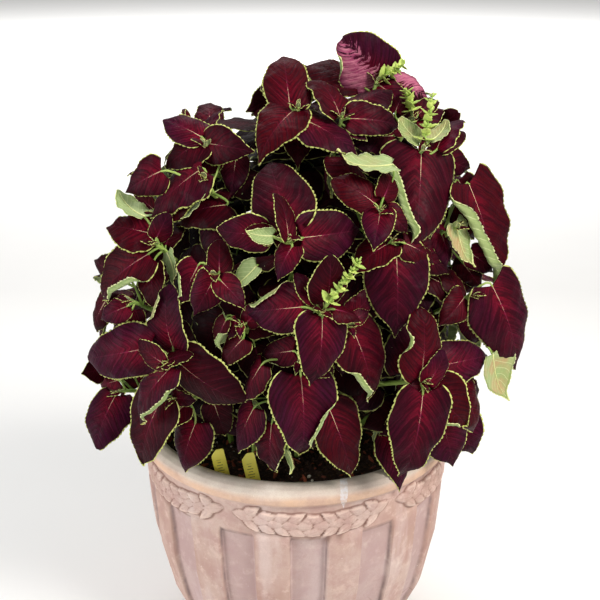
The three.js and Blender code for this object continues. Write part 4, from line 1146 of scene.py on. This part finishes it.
def soil_body(surface):
    """The mound of soil, uneven on top, down to a plain disc inside the pot."""
    angle = np.arange(SOIL_TURNS) * 2 * np.pi / SOIL_TURNS
    share = (np.arange(1, SOIL_RINGS) / (SOIL_RINGS - 1)) ** 0.9
    reach = np.repeat(share[:, None], SOIL_TURNS, 1) * SOIL_REACH
    x, y = reach * np.cos(angle), reach * np.sin(angle)
    rough = 1.2 * np.sin(x * 0.21 + 1.1) * np.sin(y * 0.19) + 0.9 * np.sin(x * 0.47 + y * 0.31)
    rough += 0.7 * np.sin(y * 0.83 - x * 0.65 + 2)
    z = soil_height(x, y) + rough * smooth_step(SOIL_REACH - reach, 0, 20)
    under = [(SOIL_UNDER_REACH * math.cos(a), SOIL_UNDER_REACH * math.sin(a), SOIL_UNDER) for a in angle]
    points = [*np.stack([x, y, z], -1).reshape(-1, 3), (0, 0, soil_height(0, 0)), *under, (0, 0, SOIL_UNDER)]
    ring = np.arange(SOIL_TURNS)
    rim = (SOIL_RINGS - 2) * SOIL_TURNS + ring
    tip = rim[-1] + 1
    lower = tip + 1 + ring
    top = grid_faces(SOIL_RINGS - 1, SOIL_TURNS, True)[:, ::-1]
    faces = [top, fan(ring, tip), strip(lower, rim), fan(lower[::-1], lower[-1] + 1)]
    surface.add(points, np.concatenate(faces), 0)


def make_soil(materials):
    surface = Surface()
    soil_body(surface)
    for k in range(CRUMBS):
        reach, turn = CRUMB_REACH * math.sqrt(draw(k, 81)), 2 * math.pi * draw(k, 82)
        x, y = reach * math.cos(turn), reach * math.sin(turn)
        kind = draw(k, 83)
        lay = unit(np.array([draw(k, 84) - 0.5, draw(k, 85) - 0.5, 0.35 * (draw(k, 86) - 0.5)]))
        size = 1.2 + 2.6 * draw(k, 87) ** 2
        spot = np.array([x, y, soil_height(x, y) + size * 0.3])
        number, long, wide = (1, 0.75, 0.6) if kind < 0.16 else (2, 2.4, 0.8) if kind < 0.55 else (0, 1.3, 1)
        bead(surface, spot, lay, size * long, size * wide, number, (draw(k, 88), 0, 0), 5, 3)
    surface.piece("potting_soil", materials, "soil", ["soil"], smooth=False)


def tag_points():
    """Four rings round a stiff tag with one cut corner, and the middle of its front and of its rear."""
    w, top, cut, r = LABEL_WIDTH / 2, LABEL_RISE, LABEL_CUT, 1.6
    half, inset = LABEL_THICK / 2, 0.18
    flat = np.array([
        (-w, -LABEL_DEPTH), (w, -LABEL_DEPTH), (w, top - r), (w - 0.5, top - 0.5), (w - r, top),
        (cut - w + 0.6, top), (cut - w - 0.8, top - 0.7), (0.7 - w, top - cut + 0.8), (-w, top - cut - 0.6),
    ])
    inwards = -np.sign(flat - [0, top / 2])
    points = []
    for y, shrink in ((-half, inset), (inset - half, 0), (half - inset, 0), (half, inset)):
        points += [(x, y, z) for x, z in flat + inwards * shrink]
    return np.array([*points, (0, -half, 20), (0, half, 20)]), len(flat)


def make_labels(material):
    """Two tags, pushed into the soil and leaning to the left and back."""
    lean, back = math.radians(-LABEL_LEAN), math.radians(-LABEL_BACK)
    points, count = tag_points()
    ring = np.arange(count)
    front, rear = 4 * count, 4 * count + 1
    faces = [grid_faces(4, count, True)[:, ::-1], fan(ring, front), fan(3 * count + ring[::-1], rear)]
    values = np.insert(points, 2, 0, axis=1)
    leaning = np.array([turned(turned(point, BACKWARDS, lean), ASIDE, back) for point in points])
    for number, (x, y) in enumerate(LABEL_SPOTS, 1):
        surface = Surface()
        surface.add(leaning + [x, y, SOIL_TOP], np.concatenate(faces), 0, values)
        surface.piece(f"plant_label_{number}", [material], "label", [f"label_{number}"], smooth=False)


# ---- Materials ----
def linear(tone):
    """A screen colour from 0 to 255 as linear values."""
    shares = [value / 255 for value in tone]
    return (*(share / 12.92 if share <= 0.04045 else ((share + 0.055) / 1.055) ** 2.4 for share in shares), 1)


def worked(operation, swapped=False):
    """A method that adds the node for one operation on a value."""
    def method(self, other=0.0):
        pair = (other, self) if swapped else (self, other)
        return self.finish.math(operation, *pair)
    return method


class Value:
    """What a node of a material puts out; sums with it make the nodes that work them out."""

    __add__ = __radd__ = worked("ADD")
    __mul__ = __rmul__ = worked("MULTIPLY")
    __sub__ = worked("SUBTRACT")
    __rsub__ = worked("SUBTRACT", swapped=True)
    __truediv__ = worked("DIVIDE")
    __lt__ = worked("LESS_THAN")
    __gt__ = worked("GREATER_THAN")
    __abs__ = worked("ABSOLUTE")

    def __init__(self, finish, socket):
        self.finish, self.socket = finish, socket


class Finish:
    """A material, its base colour as painted so far, and short names for the nodes that it is built from."""

    def __init__(self, name, roughness, **constants):
        self.material = bpy.data.materials.new(name)
        self.material.use_nodes = True
        self.tree = self.material.node_tree
        self.shader = self.tree.nodes["Principled BSDF"]
        for socket, value in {"Roughness": roughness, **constants}.items():
            self.put(self.shader.inputs[socket.replace("_", " ")], value)
        self.place = self.node("TexCoord", {}, "Object")

    def put(self, socket, value):
        """A node's value, a screen colour or a plain number, given to a node's own socket."""
        if isinstance(value, Value):
            self.tree.links.new(value.socket, socket)
        else:
            socket.default_value = linear(value) if socket.type == "RGBA" else value

    def node(self, kind, inputs, output=0, **settings):
        """What a new node puts out, with its inputs by their names or numbers."""
        node = self.tree.nodes.new("ShaderNode" + kind)
        for setting, value in settings.items():
            setattr(node, setting, value)
        for socket, value in inputs.items():
            self.put(node.inputs[socket], value)
        return Value(self, node.outputs[output])

    def math(self, operation, a, b=0.0):
        return self.node("Math", {0: a, 1: b}, operation=operation)

    def step(self, value, low, high, start=0.0, stop=1.0):
        given = dict(enumerate((value, low, high, start, stop)))
        return self.node("MapRange", given, interpolation_type="SMOOTHSTEP")

    def mix(self, share, a, b):
        return self.node("Mix", {0: share, 6: a, 7: b}, 2, data_type="RGBA")

    def paint(self, share, tone):
        """A colour laid over the base, as much of it as share says."""
        self.base = self.mix(share, self.base, tone)

    def attribute(self, name, part="Fac"):
        return self.node("Attribute", {}, part, attribute_name=name)

    def values(self):
        return [self.attribute(name) for name in Surface.VALUES]

    def parts(self, kind, value):
        return [self.node(kind, {0: value}, k) for k in range(3)]

    def tint(self):
        """The three numbers that each leaf, bud or crumb has of its own."""
        return self.parts("SeparateColor", self.attribute("tint", "Color"))

    def noise(self, scale, detail=3.0, roughness=0.55, stretch=None, at=None):
        if stretch:
            at = self.node("Mapping", {"Vector": self.place, "Scale": stretch})
        given = {"Vector": at or self.place, "Scale": scale, "Detail": detail, "Roughness": roughness}
        return self.node("TexNoise", given, "Fac")

    def cells(self, scale, feature="F1", at=None):
        given = {"Vector": at or self.place, "Scale": scale}
        return self.node("TexVoronoi", given, "Distance", feature=feature)

    def bent_place(self, amount):
        """The place, pushed about by a noise, so that lines in it wander."""
        push = self.node("TexNoise", {"Vector": self.place, "Scale": 14}, "Color")
        return self.node("VectorMath", {0: push, 1: (amount,) * 3, 2: self.place}, operation="MULTIPLY_ADD")

    def combine(self, x, y, z):
        return self.node("CombineXYZ", {0: x, 1: y, 2: z})

    def done(self, height=None, strength=0, distance=0, roughness=None):
        """The material, with its base, its relief and, where it varies, its roughness."""
        self.put(self.shader.inputs["Base Color"], self.base)
        if height:
            bump = self.node("Bump", {"Height": height, "Strength": strength, "Distance": distance})
            self.put(self.shader.inputs["Normal"], bump)
        if roughness:
            self.put(self.shader.inputs["Roughness"], roughness)
        return self.material


def vein_marks(f, rib, phase, along):
    """How far a point of a blade is from the nearest side vein, and how near it is to the midrib."""
    from_vein = abs(f.math("FRACT", phase + 0.5) - 0.5)
    across = abs(rib) / (along * -0.75 + 1.05)
    return from_vein, f.step(across, 0.5, 1.1, 1, 0) * f.step(along, 0.75, 0.98, 1, 0)


def pink_patches(f, rib, edge, phase, pink, number):
    """Pink between the veins of the few leaves that carry it, mostly on one side of the midrib."""
    streaked = f.combine(rib * 0.022, phase * 0.9, number)
    patch = f.noise(2.6, 4, 0.7, at=streaked) - (rib + 2) * 0.014
    blush = f.mix(f.step(f.noise(5, 3, 0.7, at=streaked), 0.35, 0.65), (150, 62, 98), (196, 120, 140))
    blush = f.mix(f.step(edge, 2, 12, 0.7, 0), blush, (96, 28, 58))
    f.paint(f.step(pink, 0.3, 0.9) * f.step(patch, 0.44, 0.52) * 0.9, blush)


def lime_margin(f, out, edge):
    """A ragged lime line on the teeth, broader where the blade is broad."""
    width = f.step(out, 3, 26) * 0.85 + 0.65
    margin = f.step(edge / width + (f.noise(150, 3) - 0.5), 0.45, 1, 1, 0)
    f.paint(margin, f.mix(f.noise(90, 2), (182, 194, 92), (222, 222, 142)))


def leaf_top():
    """Wine red to violet, with darker rays between the veins, and painted shade that makes it darker the deeper
    in the crown it hangs.
    """
    f = Finish("coleus_leaf_top", 0.46, Specular_IOR_Level=0.05)
    rib, edge, phase, along = f.values()
    red, pink, number = f.tint()
    from_vein, midrib = vein_marks(f, rib, phase, along)
    thin = f.step(from_vein, 0.01, 0.1, 1, 0)
    out = abs(rib)
    rays = f.noise(3.4, 4, 0.65, at=f.combine(out * 0.012, phase * 1.2, number))
    f.base = f.mix(red, (24, 2, 9), (72, 3, 11))
    f.paint(f.step(f.noise(28, 2), 0.3, 0.62, 0.35, 1) * f.step(number, 0.35, 0.8, 0, 0.85), (60, 11, 40))
    centre = f.step(out, 0, 24, 1, 0) * f.step(along, 0, 0.8, 1, 0)
    f.paint(centre * f.step(number, 0, 1, 0.4, 1), (122, 12, 36))
    f.paint(f.step(rays, 0.4, 0.6) * 0.7, (18, 1, 8))
    f.paint(f.step(from_vein, 0.02, 0.45, 1, 0) * f.step(edge, 0, 14, 0, 0.1), (92, 12, 32))
    cells = f.cells(330)
    f.paint(f.step(cells, 0.1, 0.6, 0, 0.25), (36, 3, 13))
    faint = thin * f.step(edge, 1, 12, 0, 0.2) * f.step(rays, 0.3, 0.6, 1, 0.15)
    f.paint(faint * f.step(number, 0, 1, 0.9, 0.35), (112, 28, 56))
    f.paint(midrib * f.step(along, 0.05, 0.5, 0.7, 0.1), (138, 42, 76))
    pink_patches(f, rib, edge, phase, pink, number)
    lime_margin(f, out, edge)
    # painted shade: leaves deep in the crown go towards near black
    f.paint(f.attribute("tint", "Alpha") * 0.88, (10, 2, 5))
    fine = f.noise(420, 3, 0.6)
    relief = cells * 0.8 + fine * 0.35 - thin * 0.7
    return f.done(relief, 0.45, 0.0006, f.step(fine, 0.3, 0.7, 0.4, 0.56))


def leaf_under():
    """Pale green with paler veins and margin; a few leaves are flushed with orange."""
    f = Finish("coleus_leaf_under", 0.6, Specular_IOR_Level=0.25, Sheen_Weight=0.15)
    rib, edge, phase, along = f.values()
    red, _, number = f.tint()
    from_vein, midrib = vein_marks(f, rib, phase, along)
    thin = f.step(from_vein, 0.01, 0.1, 1, 0)
    f.base = f.mix(f.noise(45, 3), (126, 148, 88), (172, 186, 128))
    f.paint(f.step(red, 0.3, 0.95, 0, 0.5), (122, 130, 70))
    f.paint(f.step(number, 0.88, 0.98) * f.step(f.noise(34, 2), 0.4, 0.65) * 0.7, (190, 134, 100))
    f.paint(thin * 0.55, (206, 214, 158))
    f.paint(midrib, (212, 218, 160))
    f.paint(f.step(edge, 0.7, 1.3) * f.step(edge, 1.6, 5, 1, 0) * 0.75, (112, 134, 62))
    f.paint(f.step(edge, 0.6, 1.1, 1, 0), (226, 226, 160))
    cells = f.cells(330)
    f.paint(f.step(cells, 0.1, 0.6, 0, 0.2), (120, 142, 80))
    return f.done(thin * 0.9 - cells * 0.5, 0.5, 0.0006)


def stem_green():
    f = Finish("coleus_stem", 0.5, Specular_IOR_Level=0.35)
    red, _, _ = f.tint()
    f.base = f.mix(red, (118, 150, 62), (160, 182, 92))
    f.paint(f.step(f.noise(60, 3, 0.5, (1, 1, 0.2)), 0.4, 0.7, 0, 0.45), (96, 104, 52))
    f.paint(f.step(f.noise(20, 2), 0.62, 0.8, 0, 0.4), (128, 62, 70))
    return f.done(f.noise(500, 3), 0.3, 0.0004)


def spike_lime():
    f = Finish("coleus_spike", 0.55, Specular_IOR_Level=0.3)
    red, _, _ = f.tint()
    f.base = f.mix(red, (150, 178, 84), (206, 220, 118))
    f.paint(f.step(f.noise(300, 2), 0.5, 0.75, 0, 0.5), (122, 150, 66))
    return f.done(f.noise(700, 2), 0.4, 0.0004)


DRIP_PLACE, DRIP_HALF, DRIP_LOW = 0.0545, 0.0042, 0.272  # a lime drip over the rim in front, in metres


def clay_with_painted_light(f, panel, relief, wide, small):
    """Pinkish clay, paler and darker in patches and streaks, greyer in the recesses, with painted shade and
    grey dirt on the panels' flanks, painted shade in the garland's hollows and a painted highlight on its
    ridges.
    """
    f.base = f.mix(f.step(wide, 0.35, 0.65), (177, 146, 134), (194, 170, 160))
    f.paint(f.step(small, 0.42, 0.64, 0, 0.55), (170, 134, 128))
    f.paint(f.step(f.noise(70, 4, 0.7), 0.5, 0.68, 0, 0.45), (216, 190, 178))
    f.paint(f.step(f.noise(22, 4, 0.6, (1, 1, 0.16)), 0.5, 0.7, 0, 0.5), (214, 198, 194))
    f.paint(f.step(panel, 0.5, 1, 0, 0.45), (178, 158, 162))
    # painted shade with grey dirt on the steep flanks between the panels and the recesses
    corner = f.step(panel, 0.1, 0.6) * f.step(panel, 0.7, 0.97, 1, 0)
    f.paint(corner * f.step(f.noise(16, 4, 0.7), 0.38, 0.62, 0.1, 0.8), (124, 108, 110))
    # painted shade in the garland's hollows
    f.paint(f.step(relief, 0.1, 0.8, 0, 0.7), (122, 88, 76))
    # painted highlight on the garland's ridges
    f.paint(f.step(relief, -0.8, -0.15, 0.5, 0), (228, 204, 190))


def worn_rim(f, high, wide, small):
    """A warmer roll, a pale lip, and the drip that runs down from it."""
    roll = f.step(high, 0.91, 0.935) * f.step(high, 0.955, 0.985, 1, 0)
    f.paint(roll * f.step(small, 0.3, 0.65, 0.85, 0.45), (222, 186, 156))
    lip = f.step(high + (wide * 0.05 - 0.025), 0.955, 0.985)
    f.paint(lip * f.step(small, 0.25, 0.7, 0.9, 0.6), (222, 212, 198))
    x, y, z = f.parts("SeparateXYZ", f.place)
    aside = abs(x - DRIP_PLACE + (f.noise(160, 2) * 0.004 - 0.002))
    drip = (z > aside * 3.2 + DRIP_LOW) * (aside < DRIP_HALF) * (y < -0.12)
    f.paint(drip * f.step(f.noise(240, 2), 0.35, 0.6, 0.25, 0.7), (222, 224, 230))


def terracotta():
    """Old terracotta with lime bloom, painted shade and highlight on its relief, a few cracks, pits, specks and
    sand.
    """
    f = Finish("aged_terracotta", 0.86, Specular_IOR_Level=0.18)
    panel, _, relief, high = f.values()
    wide = f.noise(7, 4, 0.6)
    small = f.noise(38, 5, 0.65)
    grain = f.noise(900, 3, 0.6)
    clay_with_painted_light(f, panel, relief, wide, small)
    worn_rim(f, high, wide, small)
    f.paint(f.step(f.noise(13, 5, 0.7), 0.6, 0.78, 0, 0.5), (232, 222, 212))
    from_crack = f.cells(9, "DISTANCE_TO_EDGE", f.bent_place(0.03))
    crack = f.step(from_crack, 0, 0.012, 1, 0) * f.step(f.noise(5, 2), 0.56, 0.64)
    f.paint(crack * 0.65, (132, 104, 92))
    pits = f.step(f.cells(260), 0, 0.16, 1, 0) * f.step(f.noise(60, 2), 0.52, 0.64)
    f.paint(pits * 0.55, (120, 96, 86))
    specks = f.step(f.cells(120), 0, 0.1, 1, 0) * f.step(f.noise(33, 2), 0.56, 0.62)
    f.paint(specks * 0.8, (240, 236, 228))
    f.paint(f.step(grain, 0.35, 0.7, 0, 0.22), (172, 138, 122))
    return f.done(small * 0.9 + grain * 0.35 - pits * 0.5 - crack * 0.6, 0.5, 0.0016)


def soil_dark():
    f = Finish("potting_soil", 0.92, Specular_IOR_Level=0.2)
    f.base = f.mix(f.noise(70, 4, 0.7), (22, 15, 12), (66, 46, 36))
    f.paint(f.step(f.cells(240), 0.1, 0.5, 0.5, 0), (96, 68, 52))
    return f.done(f.noise(260, 5, 0.7), 0.9, 0.003)


def grit_pale():
    f = Finish("pale_grit", 0.85)
    f.base = f.mix(f.noise(200, 3), (176, 166, 150), (214, 208, 196))
    return f.done(f.noise(500, 3), 0.4, 0.0006)


def bark_brown():
    f = Finish("bark_crumb", 0.85)
    red, _, _ = f.tint()
    f.base = f.mix(red, (88, 42, 28), (158, 74, 44))
    f.paint(f.step(f.noise(300, 4, 0.6, (1, 1, 4)), 0.4, 0.7, 0, 0.6), (34, 20, 16))
    return f.done(f.noise(420, 3), 0.6, 0.001)


RULE_STEP, RULE_HALF, RULE_LOW, RULE_HIGH = 3.4, 4.4, 12, 31  # the grey rules on a tag, in millimetres


def label_yellow():
    """Yellow plastic with a few plain grey rules instead of print, each of a length of its own."""
    f = Finish("plant_label", 0.42, Specular_IOR_Level=0.45)
    across, depth, _, up = f.values()
    f.base = f.mix(f.noise(60, 3), (255, 236, 72), (255, 246, 124))
    f.paint(f.step(up, 0, 16, 0.5, 0) * f.noise(180, 4, 0.7), (150, 118, 70))
    ragged = f.math("FRACT", f.math("FLOOR", up / RULE_STEP) * 0.618) * 2.6
    rule = (f.math("FRACT", up / RULE_STEP) < 0.3) * (abs(across + 0.6) < RULE_HALF - ragged)
    rule = rule * (up > RULE_LOW) * (up < RULE_HIGH) * (depth < -0.5)
    f.paint(rule * 0.7, (96, 84, 54))
    return f.done(f.noise(500, 2), 0.12, 0.0003)


def floor_white():
    f = Finish("floor_paper", 0.9)
    f.base = f.mix(f.noise(3, 2), (236, 235, 233), (240, 239, 237))
    return f.done()


# ---- The scene round it ----
FLOOR_REACH = 40
PICTURE = 600  # the photo's width, and the lens's reach, in pixels
LENS_REACH = 992
SENSOR = 36
SKY_LIGHT = 0.42
LIGHTS = (  # name, place, what it shines at, size, power, colour
    ("key", (1.7, -1.5, 2.5), (0, 0, 0.42), 1.2, 96, (1.0, 0.97, 0.93)),
    ("fill", (-2.7, -1.1, 1.1), (0, 0, 0.3), 1.8, 54, (0.96, 0.98, 1.0)),
    ("over", (-0.4, 1.2, 2.6), (0, 0, 0.5), 1.4, 30, (1.0, 1.0, 1.0)),
    ("backdrop", (0, 3.2, 4), (0, 12, 0), 4, 320, (1.0, 1.0, 1.0)),
    ("distance", (0, 6.5, 5), (0, 26, 0), 6, 1100, (1.0, 1.0, 1.0)),
)


def make_floor():
    mesh = bpy.data.meshes.new("floor")
    corners = [(x * FLOOR_REACH, y * FLOOR_REACH, -0.001) for x, y in ((-1, -1), (1, -1), (1, 1), (-1, 1))]
    mesh.from_pydata(corners, [], [(0, 1, 2, 3)])
    mesh.materials.append(floor_white())
    floor = placed("floor", mesh)


def make_lights():
    for name, place, aim, size, power, tone in LIGHTS:
        light = bpy.data.lights.new(name, "AREA")
        light.shape = "DISK"
        light.size = size
        light.energy = power
        light.color = tone
        lamp = placed(name, light)
        lamp.location = place
        lamp.rotation_euler = (Vector(aim) - Vector(place)).to_track_quat("-Z", "Y").to_euler()
    world = bpy.data.worlds.new("studio")
    world.use_nodes = True
    sky = world.node_tree.nodes["Background"].inputs
    sky["Color"].default_value = (1, 1, 1, 1)
    sky["Strength"].default_value = SKY_LIGHT
    bpy.context.scene.world = world
    bpy.context.scene.view_settings.view_transform = "Standard"


def make_camera():
    """The photo's own view, from a little above the crown."""
    lens = bpy.data.cameras.new("front")
    lens.sensor_width = SENSOR
    lens.lens = SENSOR * LENS_REACH / PICTURE
    camera = placed("front", lens)
    camera.location = EYE * MM
    camera.rotation_euler = (math.pi / 2 - LOOK_DOWN, 0, 0)
    bpy.context.scene.camera = camera


make_pot(terracotta())
make_soil([soil_dark(), grit_pale(), bark_brown()])
make_labels(label_yellow())
shoots = make_crown([leaf_top(), leaf_under(), stem_green()])
make_spikes(shoots, spike_lime())
make_floor()
make_lights()
make_camera()
